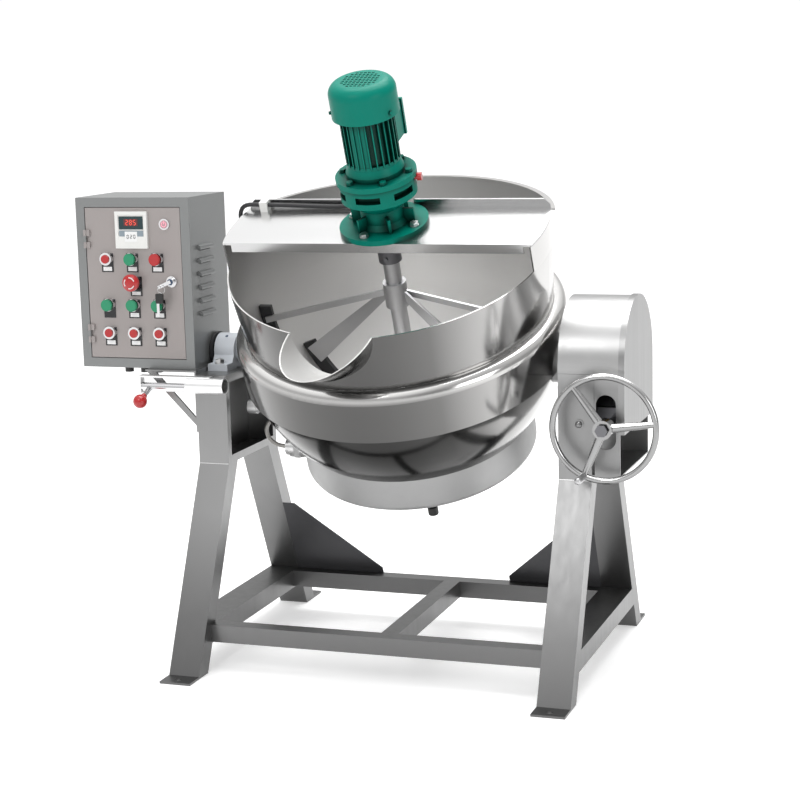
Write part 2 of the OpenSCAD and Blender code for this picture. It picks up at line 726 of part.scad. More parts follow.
module drum_outline(t) {
    square_top = -jacket_c;
    translate([0, -drum_z + drum_corner]) square([drum_r + t, drum_z - drum_corner + square_top]);
    translate([0, -drum_z - t]) square([drum_r - drum_corner, drum_corner]);
    translate([drum_r - drum_corner, -drum_z + drum_corner]) circle(r = drum_corner + t);
}
module heater_drum() {
    color([0.64, 0.64, 0.64]) on_pot() difference() {
        rotate_extrude($fn = 128) difference() {
            intersection() {
                drum_outline(0);
                translate([0, -drum_z - 1]) square([drum_r + 1, drum_z + 1]);
            }
            translate([0, -drum_z + pot_t + drum_corner])
                square([drum_r - pot_t, drum_z]);
            translate([0, -drum_z + pot_t]) square([drum_r - drum_corner, drum_z]);
            translate([drum_r - drum_corner, -drum_z + drum_corner]) circle(r = drum_corner - pot_t);
        }
        jacket_solid(seat_gap);
        heater_place() rotate([0, -90, 0]) translate([0, 0, -40]) cylinder(h = 80, r = 18);
        drain_place() translate([0, 0, -drum_z - 20]) cylinder(h = 60, r = 9);
    }
}

// Where the fittings sit on the pot
heater_y = -86;
heater_h = element_h - drum_z;
module heater_place() translate([-sqrt(drum_r * drum_r - heater_y * heater_y), heater_y, heater_h]) children();
module drain_place() translate([90, drain_in - drum_r, 0]) children();
nipple_y = -102;
nipple_h = -93;

// Two rings of tube element with their leads through the fitting
module heating_elements() {
    x0 = -sqrt(drum_r * drum_r - heater_y * heater_y);
    color([0.55, 0.5, 0.45]) on_pot() translate([0, 0, heater_h]) {
        for (k = [0, 1]) {
            r = coil_r - k * 26;
            a0 = 180 + asin((-heater_y + (k == 0 ? 8 : -8)) / r);
            rotate([0, 0, a0]) rotate_extrude(angle = 330) translate([r, 0]) circle(d = element_d);
            lead_y = heater_y + (k == 0 ? -8 : 8);
            translate([x0 - 12, lead_y, 0]) rod_x(0, -x0 + 12 - sqrt(r * r - lead_y * lead_y), element_d / 2);
            translate([-sqrt(r * r - lead_y * lead_y), lead_y, 0]) sphere(d = element_d + 2);
        }
        for (a = [30, 150, 270]) rotate([0, 0, a]) translate([coil_r - 30, -4, -drum_z - heater_h + pot_t])
            cube([34, 8, drum_z + heater_h - pot_t - element_d / 4]);
    }
}

module heater_fitting() {
    color([0.7, 0.7, 0.7]) on_pot() difference() {
        heater_place() {
            rod_x(-34, 60, 24);
            rod_x(-44, 10, 20);
            rod_x(-20, 12, 29, $fn = 6);
        }
        translate([0, 0, heater_h]) cylinder(h = 400, r = drum_r + seat_gap, center = true, $fn = 128);
        for (k = [-8, 8]) heater_place() translate([0, k, 0]) rod_x(-12.5, 60, element_d / 2 + seat_gap);
    }
}

// Tube through a list of points; each ring stands square to the route
function unit(v) = v / norm(v);
function route_dir(p, i) = unit(p[min(i + 1, len(p) - 1)] - p[max(i - 1, 0)]);
function spline(p, k) = [for (i = [0:len(p) - 2]) let (a = p[max(i - 1, 0)], b = p[i], c = p[i + 1],
    d = p[min(i + 2, len(p) - 1)]) for (j = [0:k - 1]) let (t = j / k)
    0.5 * (2 * b + (c - a) * t + (2 * a - 5 * b + 4 * c - d) * t * t + (3 * b - a - 3 * c + d) * t * t * t),
    p[len(p) - 1]];
module lead_tube(p, r, sides) {
    up = [0.31, 0.83, 0.46];
    sweep([for (i = [0:len(p) - 1]) let (d = route_dir(p, i), u = unit(cross(d, up)), w = cross(d, u))
        [for (j = [0:sides - 1]) p[i] + r * (cos(360 * j / sides) * u + sin(360 * j / sides) * w)]]);
}

conduit_route = [[-309, -86, -212], [-330, -88, -206], [-344, -93, -186], [-345, -98, -160],
                 [-334, -100, -138], [-316, -100, -124]];
module heater_conduit() {
    color([0.6, 0.6, 0.6]) on_pot() {
        difference() {
            lead_tube(spline(conduit_route, 3), 5, 10);
            heater_place() rod_x(-44.1, 80, 24);
            jacket_solid(seat_gap);
        }
    }
}

module jacket_plugs() {
    color([0.72, 0.72, 0.72]) on_pot() {
        difference() {
            union() {
                translate([0, nipple_y, nipple_h]) {
                    rod_x(-jacket_r + 24, 80, 13);
                    rod_x(-jacket_r + 3, 21, 16.5);
                }
                drain_place() {
                    translate([0, 0, -drum_z - 24]) cylinder(h = 30, r = 8.8);
                    translate([0, 0, -drum_z - 34]) cylinder(h = 20, r = 12);
                }
            }
            jacket_solid(seat_gap);
        }
    }
}

// Trunnions: a boss fitted to the jacket, a shaft and a collar
module trunnion(s, shaft_end) {
    x0 = ring_r + 4;
    difference() {
        union() {
            translate([s > 0 ? ring_r - 80 : -x0, 0, 0]) rod_x(0, x0 - ring_r + 80, boss_d / 2);
            translate([s > 0 ? x0 : -x0 - 4, 0, 0]) rod_x(0, 4, boss_d / 2 - 12);
            translate([s > 0 ? x0 : -shaft_end, 0, 0]) rod_x(0, shaft_end - x0, trunnion_d / 2);
            translate([s > 0 ? x0 : -bearing_x + bearing_l / 2 + 3.5, 0, 0])
                rod_x(0, bearing_x - bearing_l / 2 - 3.5 - x0, trunnion_d / 2 + 8);
        }
        jacket_solid(seat_gap);
    }
}
module left_trunnion() { color(steel) on_pot() trunnion(-1, bearing_x + bearing_l / 2 + 8); }
module right_trunnion() { color(steel) on_pot() trunnion(1, worm_x + 19); }

// Bridge plate with its front flange and rear upstand
shaft_hole_r = 32;
module bridge_plate() {
    r = lip_r + pot_t + 1;
    top = collar_h + bridge_t;
    color(polished) on_pot() difference() {
        intersection() {
            union() {
                translate([-r, -bridge_front, collar_h]) cube([2 * r, bridge_front + bridge_rear, bridge_t]);
                translate([-r + 30, -bridge_front, top - bridge_flange]) cube([2 * r - 60, 4, bridge_flange]);
                translate([-r, bridge_rear - 4, top]) cube([2 * r, 4, bridge_upstand]);
            }
            cylinder(h = 500, r = r, $fn = 128);
        }
        translate([0, 0, collar_h - 1]) cylinder(h = bridge_t + 2, r = shaft_hole_r);
        for (s = [-1, 1]) translate([s * (r - 8), 0, top + bridge_upstand]) rotate([0, s * 45, 0])
            cube([24, 400, 24], center = true);
        translate([0, 0, top + eps]) cylinder(h = bridge_upstand + 1, r = foot_flange_r + 1);
        ring_of(4, bolt_circle, 75) translate([0, 0, collar_h - 1]) cylinder(h = bridge_t + 2, r = 5.5);
    }
}
bolt_circle = min(foot_flange_r - 16, (bridge_front - 10.5) / sin(75));
drive_h = collar_h + bridge_t;
neck_top = drive_h + 52;
housing_z = neck_top + 26;
cover_z = housing_z + housing_h;
rim_t = 12;
cover_t = 22;
frame_z = cover_z + cover_t + 16;
frame_h = 116;

// Gearbox: foot flange, neck, flare and pin ring housing with its windows
module gearbox_housing() {
    color(green) on_pot() difference() {
        union() {
            translate([0, 0, drive_h]) cylinder(h = foot_flange_t, r = foot_flange_r);
            translate([0, 0, drive_h + foot_flange_t]) cylinder(h = 12, r1 = neck_r + 8, r2 = neck_r);
            translate([0, 0, drive_h]) cylinder(h = neck_top - drive_h, r = neck_r);
            translate([0, 0, neck_top]) cylinder(h = housing_z - neck_top, r1 = neck_r, r2 = housing_r - 8);
            translate([0, 0, housing_z]) cylinder(h = housing_h, r = housing_r);
            ring_of(6, neck_r - 2, 0) translate([0, -3, drive_h]) cube([26, 6, 44]);
        }
        ring_of(6, housing_r, 32) translate([-16, -window_w / 2, housing_z + housing_h / 2 - window_h / 2])
            cube([24, window_w, window_h]);
        translate([0, 0, drive_h - 1]) cylinder(h = 50, r = output_d / 2 + fit);
        translate([0, 0, drive_h - 1]) cylinder(h = 9, r = shaft_hole_r);
        ring_of(4, bolt_circle, 75) translate([0, 0, drive_h - 1]) cylinder(h = foot_flange_t + 2, r = 5.5);
        ring_of(6, housing_r - 9, 0) translate([0, 0, housing_z + housing_h - 9]) cylinder(h = 10, r = 4.5);
        rotate([0, 0, vent_turn]) translate([motor_flange_r - 12, 0, vent_z]) rod_x(0, 20, 6.2);
    }
}

// Motor flange: a rim with six bolts and the end bell
module gearbox_cover() {
    color(green) on_pot() difference() {
        union() {
            translate([0, 0, cover_z]) cylinder(h = rim_t, r = motor_flange_r);
            translate([0, 0, cover_z]) cylinder(h = cover_t, r = 65);
            translate([0, 0, cover_z + cover_t]) cylinder(h = 16, r1 = 65, r2 = fin_r - 2);
        }
        ring_of(6, housing_r - 9, 0) translate([0, 0, cover_z - 1]) cylinder(h = rim_t + 2, r = 5);
        translate([0, 0, cover_z + 8]) cylinder(h = cover_t + 20, r = rotor_shaft_r + 6);
        translate([0, 0, cover_z + 8]) cylinder(h = cover_t - 14, r = 40);
    }
}
vent_turn = 8;
vent_z = cover_z - 6.5;
rotor_shaft_r = 9;
rotor_r = 30;

// Finned motor body with its bell ends
module motor_frame() {
    core = fin_r - 9;
    color(green) on_pot() difference() {
        union() {
            translate([0, 0, frame_z]) cylinder(h = frame_h + 24, r = core);
            translate([0, 0, frame_z]) cylinder(h = 8, r = fin_r - 2);
            for (i = [0:fin_count - 1]) rotate([0, 0, i * 360 / fin_count + 360 / fin_count / 2])
                translate([core - 2, -1.4, frame_z + 4]) cube([fin_r - core + 2, 2.8, frame_h]);
            intersection() {
                rotate([0, 0, pad_turn]) translate([0, -pad_w / 2, frame_z + 2]) cube([100, pad_w, frame_h - 6]);
                translate([0, 0, frame_z]) cylinder(h = frame_h + 10, r = fin_r - 2.5);
            }
        }
        translate([0, 0, frame_z - 1]) cylinder(h = frame_h + 40, r = rotor_shaft_r + fit);
        translate([0, 0, frame_z + 10]) cylinder(h = frame_h + 4, r = rotor_r + 0.4);
        rotate([0, 0, box_turn]) translate([core - 4, -24, frame_z + 24]) cube([20, 48, 58]);
    }
}
box_turn = 90;
pad_turn = -96;
box_d = 56;
box_gland = box_d - 15;

// Fan cowl: open at the bottom, rounded at the top, with a grille of small slots
cowl_t = 1.6;
cowl_z = frame_z + frame_h - 4;
cowl_round = 26;
grille_step = 9;
module cowl_outline(t) {
    square([cowl_r - t, cowl_h - cowl_round]);
    square([cowl_r - cowl_round, cowl_h - t]);
    translate([cowl_r - cowl_round, cowl_h - cowl_round]) circle(r = cowl_round - t);
}
module fan_cowl() {
    color(green) on_pot() translate([0, 0, cowl_z]) {
        difference() {
            rotate_extrude() difference() {
                intersection() {
                    cowl_outline(0);
                    square([cowl_r, cowl_h]);
                }
                cowl_outline(cowl_t);
                translate([-100, 0]) square([100, 200]);
            }
            for (i = [-4:4], j = [-4:4]) if (norm([i, j]) * grille_step < cowl_r - cowl_round - 6)
                translate([i * grille_step - 3.2, j * grille_step - 2.2, cowl_h - 8]) cube([6.4, 4.4, 16]);
        }
        for (a = [45, 165, 285]) rotate([0, 0, a]) translate([fin_r + 0.3, -5, 8])
            cube([cowl_r - fin_r - 0.3 - cowl_t / 2, 10, 10]);
    }
}

// Rotor, shaft and the fan under the cowl
module motor_rotor() {
    fan_z = frame_z + frame_h + 30;
    color([0.25, 0.25, 0.27]) on_pot() {
        translate([0, 0, cover_z + 12]) cylinder(h = fan_z + 22 - cover_z - 12, r = rotor_shaft_r);
        translate([0, 0, frame_z + 14]) cylinder(h = frame_h - 4, r = rotor_r);
        translate([0, 0, fan_z]) cylinder(h = 20, r = 20);
        translate([0, 0, fan_z]) cylinder(h = 2, r = 58);
        for (i = [0:8]) rotate([0, 0, i * 40]) translate([18, -1, fan_z]) cube([38, 2, 20]);
    }
}

module hex_bolt(d, len) {
    translate([0, 0, -len]) cylinder(h = len, d = d);
    cylinder(h = 1.6, d = d * 2);
    translate([0, 0, 1.6]) cylinder(h = d * 0.65, d = d * 1.7 / cos(30), $fn = 6);
}
module gearbox_bolts() {
    color([0.75, 0.75, 0.76]) on_pot() {
        ring_of(4, bolt_circle, 75) translate([0, 0, drive_h + foot_flange_t])
            hex_bolt(10, foot_flange_t + bridge_t + 6);
        ring_of(6, housing_r - 9, 0) translate([0, 0, cover_z + rim_t]) hex_bolt(8, rim_t + 8);
    }
}

module vent_plug() {
    color([0.75, 0.12, 0.1]) on_pot() rotate([0, 0, vent_turn]) translate([0, 0, vent_z]) {
        rod_x(motor_flange_r - 11, 14, 6);
        rod_x(motor_flange_r + 0.2, 10, 9);
    }
}

// Terminal box on the rear of the motor
module terminal_box() {
    core = fin_r - 9;
    color(green) on_pot() rotate([0, 0, box_turn]) translate([0, 0, frame_z + 24]) difference() {
        union() {
            translate([core - 4, -23.8, 0.2]) cube([16, 47.6, 57.6]);
            translate([fin_r + 0.5, -38, -10]) cube([box_d, 76, 78]);
            translate([fin_r + box_d, -41, -13]) cube([8, 82, 84]);
            translate([fin_r + box_gland, 0, -24]) cylinder(h = 18, r = 9);
            translate([fin_r + box_gland, 0, -18]) cylinder(h = 8, r = 11, $fn = 6);
        }
        translate([fin_r + box_gland, 0, -30]) cylinder(h = 30, r = lead_d / 2 + seat_gap);
        translate([fin_r + 4, -34, -6]) cube([box_d - 4, 68, 70]);
    }
}

box_y = fin_r + box_gland;
lead_route = [[0, box_y, frame_z + 16], [0, box_y, frame_z - 12], [0, box_y + 1, 446], [-2, box_y + 1, 420],
              [-8, box_y, 397], [-22, 95, 377], [-46, 86, 361], [-80, 80, 347], [-118, 77.5, 340],
              [-160, 77, 339.5], [-210, 77, 341], [-260, 77, 343], [-300, 77, 344], [-330, 77, 344.5],
              [-352, 77, 345], [-369, 77, 340], [-379, 77, 327], [-383, 77, 308], [-383, 77, 284],
              [-382, 77, 250], [-382, 77, 210], [-382, 77, 170], [-382, 77, 130], [-382, 77, 90],
              [-380, 77, 50], [-378, 77, 18]];
clip_x = -316;
clip_h = 14.25;
module motor_lead() {
    color(black) on_pot() lead_tube(spline(lead_route, 2), lead_d / 2, 10);
}

// White clip on the bridge plate and the gland on the jacket
gland_y = 77;
gland_out = ring_r - 2;
module lead_clips() {
    lead_r = lead_d / 2 + seat_gap;
    top = collar_h + bridge_t;
    color([0.85, 0.85, 0.85]) on_pot() {
        translate([clip_x, 0, 0]) difference() {
            translate([-9, 67, top]) cube([18, bridge_rear - 4 - 67, clip_h + 10]);
            translate([0, gland_y, top + clip_h]) rod_x(-20, 40, lead_r);
        }
        difference() {
            union() {
                translate([-gland_out, gland_y, 0]) cylinder(h = 18, r = 8.5);
                translate([-gland_out, gland_y, 12]) cylinder(h = 10, r = 11, $fn = 6);
                translate([-ring_r, gland_y - 9, -8]) cube([60, 18, 8]);
            }
            translate([-gland_out, gland_y, 8]) cylinder(h = 40, r = lead_r + 0.6);
            jacket_solid(seat_gap);
        }
    }
}

// Agitator
stir_top = collar_h - 36;
module agitator_shaft() {
    bottom = bowl_c - bowl_r + 22;
    color(steel) on_pot() {
        translate([0, 0, bottom]) cylinder(h = stir_top - 24 - bottom, r = stir_d / 2);
        translate([0, 0, stir_top - 26]) cylinder(h = drive_h + 44 - stir_top + 26, r = output_d / 2);
        translate([0, 0, bottom]) cylinder(h = 10, r = stir_d / 2 + 4);
    }
}

module shaft_coupling() {
    h = 62;
    z0 = stir_top - 44;
    color([0.2, 0.2, 0.21]) on_pot() difference() {
        union() {
            translate([0, 0, z0]) cylinder(h = h, r = stir_d / 2 + 7);
            translate([0, 0, z0 + h - 16]) cylinder(h = 16, r = stir_d / 2 + 10);
            for (s = [-1, 1]) translate([0, 0, z0 + 14]) rotate([s * 90, 0, 0])
                cylinder(h = stir_d / 2 + 11, r = 5);
        }
        translate([0, 0, z0 - 1]) cylinder(h = stir_top - 24 - z0 + 1 + fit, r = stir_d / 2 + fit);
        translate([0, 0, z0 - 1]) cylinder(h = h + 2, r = output_d / 2 + fit);
    }
}

// Paddles that slope down to the bowl, thin arms above them and bars along the bottom
blade_r = bowl_r - scraper_gap;
bottom_r = blade_r - 32;
module upright(turn, y0, t) rotate([0, 0, turn]) rotate([90, 0, 0]) translate([0, 0, -y0 - t])
    linear_extrude(t) children();
module arc_band(r0, r1, a0, a1) intersection() {
    translate([0, bowl_c]) difference() {
        circle(r = r1, $fn = 128);
        circle(r = r0, $fn = 128);
    }
    translate([0, bowl_c]) polygon([[0, 0], [500 * cos(a0), 500 * sin(a0)],
        [520 * cos((a0 + a1) / 2), 520 * sin((a0 + a1) / 2)], [500 * cos(a1), 500 * sin(a1)]]);
}
function bowl_pt(r, a) = [r * cos(a), bowl_c + r * sin(a)];

module scraper_arms() {
    color([0.7, 0.7, 0.71]) on_pot() difference() {
        union() {
            translate([0, 0, arm_h - 34]) cylinder(h = 60, r = stir_d / 2 + 8);
            for (k = [0, 180]) {
                upright(paddle_turn + k, -arm_t / 2, arm_t) polygon([[stir_d / 2 + 2, arm_h + 8],
                    [stir_d / 2 + 2, arm_h - 16], bowl_pt(bottom_r + 6, -36), bowl_pt(bottom_r + 18, -36 + paddle_w / 6)]);
                upright(thin_turn + k, -arm_t / 2, arm_t) polygon([[stir_d / 2 + 2, arm_h + 6],
                    [stir_d / 2 + 2, arm_h - 8], bowl_pt(blade_r - 12, -7), bowl_pt(blade_r - 12, -4.5)]);
                upright(bottom_turn + k, -arm_t / 2, arm_t) arc_band(bottom_r - 28, bottom_r, -88, -48);
            }
            translate([0, 0, bowl_c - bottom_r + 2]) cylinder(h = 36, r = stir_d / 2 + 8);
        }
        translate([0, 0, arm_h - 400]) cylinder(h = 500, r = stir_d / 2 + fit);
    }
}

module scraper_blades() {
    color(black) on_pot() for (k = [0, 180]) {
        upright(paddle_turn + k, -arm_t / 2 - 10, 10) arc_band(bottom_r - 6, blade_r, -52, -26);
        upright(thin_turn + k, -arm_t / 2 - 10, 10) arc_band(blade_r - 30, blade_r, -14, 0);
        upright(bottom_turn + k, -arm_t / 2 - 10, 10) arc_band(bottom_r - 14, blade_r, -80, -50);
    }
}

// Cabinet
cab_left = cab_right - cab_w;
cab_top = cab_z + cab_h;
frame_lip = 16;
door_w = cab_w - 2 * cab_border - 2 * door_gap;
door_h = cab_h - 2 * cab_border - 2 * door_gap;
door_x = cab_left + cab_border + door_gap;
door_z = cab_z + cab_border + door_gap;
hinge_x = door_x - 0.5;
hinge_y = cab_front - 4;

louver_l = 74;
louver_y = -44;
louver_z = cab_z + 118;
module louver_slots() for (i = [0:5]) translate([cab_right - 3, louver_y - louver_l / 2 + 7, louver_z + i * 31])
    cube([10, louver_l - 14, 7]);
module louver_hoods() for (i = [0:5]) translate([cab_right, louver_y - louver_l / 2, louver_z + 6 + i * 31])
    difference() {
        rod_y(0, louver_l, 8);
        rod_y(1.5, louver_l - 3, 6.5);
        translate([-11, -1, -10]) cube([10, louver_l + 2, 20]);
        translate([-2, -1, -10]) cube([14, louver_l + 2, 7]);
        translate([-2, 4, -8]) cube([2.5, louver_l - 8, 8]);
    }

// Seams between the right side, the gland plate, the front frame and the rest
module cabinet_seams() {
    y0 = cab_front + cab_t;
    translate([cab_right - cab_t - seat_gap, y0, cab_z - 1]) cube([seat_gap, cab_d, cab_h + 2]);
    translate([cab_left - 1, y0, cab_z + cab_t]) cube([cab_w - cab_t, cab_d, seat_gap]);
    difference() {
        translate([cab_left - 1, y0, cab_z - 1]) cube([cab_w + 2, seat_gap, cab_h + 2]);
        translate([cab_left + 10, cab_front, cab_z + 10]) cube([cab_w - 20, 10, cab_h - 20]);
    }
}

gland_x = [cab_left + 74, cab_left + 116, cab_left + 152];
cab_gland_y = -30;
module cabinet_shell() {
    color([0.57, 0.58, 0.57]) {
        difference() {
            translate([cab_left, cab_front, cab_z]) cube([cab_w, cab_d, cab_h]);
            translate([cab_left + cab_t, cab_front + cab_t, cab_z + cab_t])
                cube([cab_w - 2 * cab_t, cab_d - 2 * cab_t, cab_h - 2 * cab_t]);
            translate([cab_left + cab_border, cab_front - 1, cab_z + cab_border])
                cube([cab_w - 2 * cab_border, 10, cab_h - 2 * cab_border]);
            louver_slots();
            for (x = gland_x) translate([x, cab_gland_y, cab_z - 1]) cylinder(h = 10, r = 9);
            cabinet_seams();
        }
        difference() {
            translate([cab_left + cab_border - cab_t, cab_front, cab_z + cab_border - cab_t])
                cube([cab_w - 2 * cab_border + 2 * cab_t, frame_lip, cab_h - 2 * cab_border + 2 * cab_t]);
            translate([cab_left + cab_border, cab_front - 1, cab_z + cab_border])
                cube([cab_w - 2 * cab_border, frame_lip + 2, cab_h - 2 * cab_border]);
        }
        for (x = [cab_left + 30, cab_right - 42]) for (z = [cab_z + 30, cab_top - 42])
            translate([x, cab_front + cab_d - cab_t - 18, z]) cube([12, 18, 12]);
        louver_hoods();
        for (z = [door_z + 50, door_z + door_h - 80]) translate([hinge_x, hinge_y, z]) {
            difference() {
                union() {
                    cylinder(h = 14, r = 3.6);
                    translate([-10, 0, 0]) cube([10, 4 + cab_t / 2, 14]);
                }
                translate([0, 0, -1]) cylinder(h = 16, r = 2 + fit);
            }
        }
    }
}

// Door: folded panel, hinge knuckles and the holes for its fittings
column_x = [77, 142, 207];
row_z = [143, 197, 251, 317];
buttons = [[0, 0], [1, 0], [2, 0], [0, 2], [1, 2], [2, 2], [0, 3], [1, 3], [2, 3]];
function button_at(i) = [cab_left + column_x[buttons[i][0]], cab_front + 1, cab_top - row_z[buttons[i][1]]];
stop_at = [cab_left + column_x[1] + 3, cab_front + 1, cab_top - row_z[1]];
controller_at = [cab_left + 145, cab_front + 1, cab_top - 75];
lamp_at = [cab_left + 229, cab_front + 1, cab_top - 62];
lock_at = [cab_left + 242, cab_front + 1, cab_top - 195];
hole_d = 22;
door_y = cab_front + 1;
door_t = 2;

module door_panel() {
    color([0.66, 0.63, 0.62]) {
        difference() {
            translate([door_x, door_y, door_z]) cube([door_w, door_d, door_h]);
            translate([door_x + door_t, door_y + door_t, door_z + door_t])
                cube([door_w - 2 * door_t, door_d, door_h - 2 * door_t]);
            for (i = [0:8]) translate(button_at(i)) rod_y(-5, 20, hole_d / 2);
            translate(stop_at) rod_y(-5, 20, hole_d / 2);
            translate(lamp_at) rod_y(-5, 20, hole_d / 2 - 4);
            translate(lock_at) rod_y(-5, 20, 9);
            translate(controller_at) translate([-controller_w / 2 + 6, -5, -controller_h / 2 + 6])
                cube([controller_w - 12, 20, controller_h - 12]);
        }
        for (z = [door_z + 50, door_z + door_h - 80]) translate([hinge_x, hinge_y, z]) {
            for (k = [-14.3, 14.3]) translate([0, 0, k]) {
                cylinder(h = 14, r = 3.6);
                translate([0, 0, 0]) cube([12, 5 + door_t / 2, 14]);
            }
            translate([0, 0, -14]) cylinder(h = 42, r = 2);
        }
    }
}

// Bezels, sleeves, back nuts and contact blocks of the push buttons
collar_d = hole_d - 0.2;
bezel_h = 12;
module operator_body(bezel) {
    difference() {
        union() {
            rod_y(-bezel_h, bezel_h, bezel / 2);
            rod_y(-6, 30, collar_d / 2);
            rod_y(door_t, 5, bezel / 2 - 0.5);
            translate([-15, 20, -15]) cube([30, 38, 30]);
        }
        rod_y(-bezel_h - 1, bezel_h + 19, button_d / 2 + 0.3);
    }
}
module button_collars() {
    color([0.7, 0.7, 0.71]) {
        for (i = [0:8]) translate(button_at(i)) operator_body(bezel_d);
        translate(stop_at) operator_body(bezel_d - 1);
        translate(lamp_at) {
            rod_y(-4, 4, 13);
            rod_y(-4, 30, hole_d / 2 - 4.2);
        }
    }
}

module temperature_controller() {
    color([0.85, 0.85, 0.84]) translate(controller_at) {
        translate([-controller_w / 2, -7, -controller_h / 2]) difference() {
            cube([controller_w, 7, controller_h]);
            translate([8, -1, 28]) cube([controller_w - 16, 3, controller_h - 36]);
        }
        translate([-controller_w / 2 + 6.3, -1, -controller_h / 2 + 6.3])
            cube([controller_w - 12.6, 75, controller_h - 12.6]);
    }
}

// Push buttons: a cap that slides in its collar
module push_button(i) translate(button_at(i)) {
    rod_y(-bezel_h - 3, bezel_h + 17.5, button_d / 2);
}
// A raised button has a head as wide as its bezel
module raised_button(i) translate(button_at(i)) {
    rod_y(-bezel_h - 4, bezel_h + 18.5, button_d / 2);
    rod_y(-bezel_h - 3.5 - raised_t, raised_t, bezel_d / 2 - 1);
    rod_y(-bezel_h - 4.5 - raised_t, 2, bezel_d / 2 - 2.2);
}
raised_t = 3.5;
module stop_button() {
    color([0.8, 0.05, 0.05]) translate(stop_at) {
        rod_y(-bezel_h - 5, bezel_h + 18, button_d / 2);
        translate([0, -bezel_h - 10.5, 0]) intersection() {
            translate([0, 26, 0]) sphere(r = 34, $fn = 64);
            rod_y(-9, 15, stop_d / 2);
        }
    }
}
red = [0.75, 0.05, 0.05];
leaf = [0.1, 0.6, 0.4];
module button_1() { color(red) push_button(0); }
module button_2() { color(leaf) raised_button(1); }
module button_3() { color(red) raised_button(2); }
module button_4() { color(leaf) raised_button(3); }
module button_5() { color(leaf) raised_button(4); }
module button_6() { color(leaf) raised_button(5); }
module button_7() { color(red) push_button(6); }
module button_8() { color(red) push_button(7); }
module button_9() { color(red) push_button(8); }

// Quarter-turn lock: barrel, lever and the cam behind the door
module door_lock() {
    color([0.75, 0.75, 0.76]) translate(lock_at) {
        rod_y(-5, 5, 13);
        rod_y(-12, 30, 8.9);
        rotate([0, -24, 0]) translate([-32, -16, -4]) cube([35, 5, 8]);
        translate([-6, frame_lip, -34]) cube([12, 3, 40]);
        translate([0, frame_lip, 0]) rod_y(-1.5, 7, 10);
    }
}

// Mounting plate, rail, contactors, terminal strip and transformer
module control_gear() {
    back = cab_front + cab_d - cab_t - 18;
    color([0.8, 0.8, 0.78]) {
        translate([cab_left + 20, back - 2, cab_z + 20]) cube([cab_w - 40, 2, cab_h - 40]);
        translate([cab_left + 30, back - 9.5, cab_top - 130]) cube([cab_w - 60, 7.5, 35]);
        for (i = [0:3]) translate([cab_left + 40 + i * 56, back - 80, cab_top - 152]) {
            cube([45, 70.5, 78]);
            translate([8, -8, 18]) cube([29, 9, 40]);
        }
        translate([cab_left + 30, back - 9.5, cab_top - 262]) cube([cab_w - 60, 7.5, 35]);
        for (i = [0:13]) translate([cab_left + 40 + i * 11.6, back - 52, cab_top - 268]) cube([11, 42.5, 46]);
        translate([cab_left + 210, back - 70, cab_top - 274]) cube([52, 60.5, 60]);
    }
}

module cabinet_glands() {
    color(black) for (x = gland_x) translate([x, cab_gland_y, cab_z]) difference() {
        union() {
            translate([0, 0, -8]) cylinder(h = 8, r = 13, $fn = 6);
            translate([0, 0, -24]) cylinder(h = 18, r = 10.5);
            cylinder(h = cab_t, r = 8.9);
            translate([0, 0, cab_t]) cylinder(h = 6, r = 13, $fn = 6);
        }
        translate([0, 0, -30]) cylinder(h = 60, r = gland_bore / 2);
    }
}
gland_bore = 13;

// Shelf under the cabinet, its flange on the post and two diagonal straps
shelf_reach = 130;
shelf_t = 4;
module cabinet_bracket() {
    x0 = -post_out - shelf_reach;
    strap_z = cab_z - 124;
    color(steel) difference() {
        union() {
            translate([x0, -post_half, cab_z - shelf_t]) cube([shelf_reach - eps, post_half + 70, shelf_t]);
            translate([-post_out - 4 - eps, -post_half, strap_z - 20])
                cube([4, post_half + 70, cab_z - strap_z + 20 - shelf_t / 2]);
            for (y = [-post_half, 60]) along_y(y, 6) polygon([[-post_out - eps, strap_z - 9],
                [-post_out - eps, strap_z + 9], [x0 + 24, cab_z - shelf_t / 2], [x0 + 2, cab_z - shelf_t / 2]]);
        }
        translate([0, 0, pivot_z]) rod_x(cab_right - 2, 100, cap_r + 3);
    }
}

// Sleeve, pad and guide strap of the tilt lock, on the front of the left post
lock_y = -post_half - sleeve_d / 2 - 4;
sleeve_x0 = -post_out - 10.5;
sleeve_x1 = -post_in + 8.5;
strap_end = -post_out - 130.5;
bolt_drop = (sleeve_d - 5 - bolt_d) / 2 - 0.4;
module lock_sleeve() {
    color(steel) translate([0, lock_y, lock_z]) {
        difference() {
            union() {
                rod_x(sleeve_x0, sleeve_x1 - sleeve_x0, sleeve_d / 2);
                translate([-post_out + 10, 0, -14]) cube([post_w - 20, sleeve_d / 2 + 4, 28]);
            }
            translate([0, 0, -bolt_drop]) rod_x(sleeve_x0 - 1, 30, bolt_d / 2 + fit);
            rod_x(sleeve_x0 + 8, sleeve_x1 - sleeve_x0, sleeve_d / 2 - 2.5);
        }
        translate([strap_end, -10, sleeve_d / 2 - 2]) cube([sleeve_x0 + 60 - strap_end, 20, 4]);
        translate([strap_end, -10, -20]) cube([4, 20, sleeve_d / 2 + 20]);
    }
}

// Sliding bolt with its neck and ball knob
lock_travel = 40;
bolt_x0 = strap_end + 4.3;
knob_at = [strap_end + 25, -58, -25];
module lock_bolt() {
    reach = norm([knob_at[1], knob_at[2]]);
    color([0.7, 0.7, 0.71]) translate([0, lock_y, lock_z - bolt_drop]) {
        rod_x(bolt_x0, sleeve_x1 - 14 - lock_travel - bolt_x0, bolt_d / 2);
        translate([knob_at[0], 0, 0]) rotate([90 + atan2(-knob_at[2], -knob_at[1]), 0, 0])
            cylinder(h = reach, r1 = 7, r2 = 5);
        translate(knob_at) sphere(d = knob_d);
    }
}

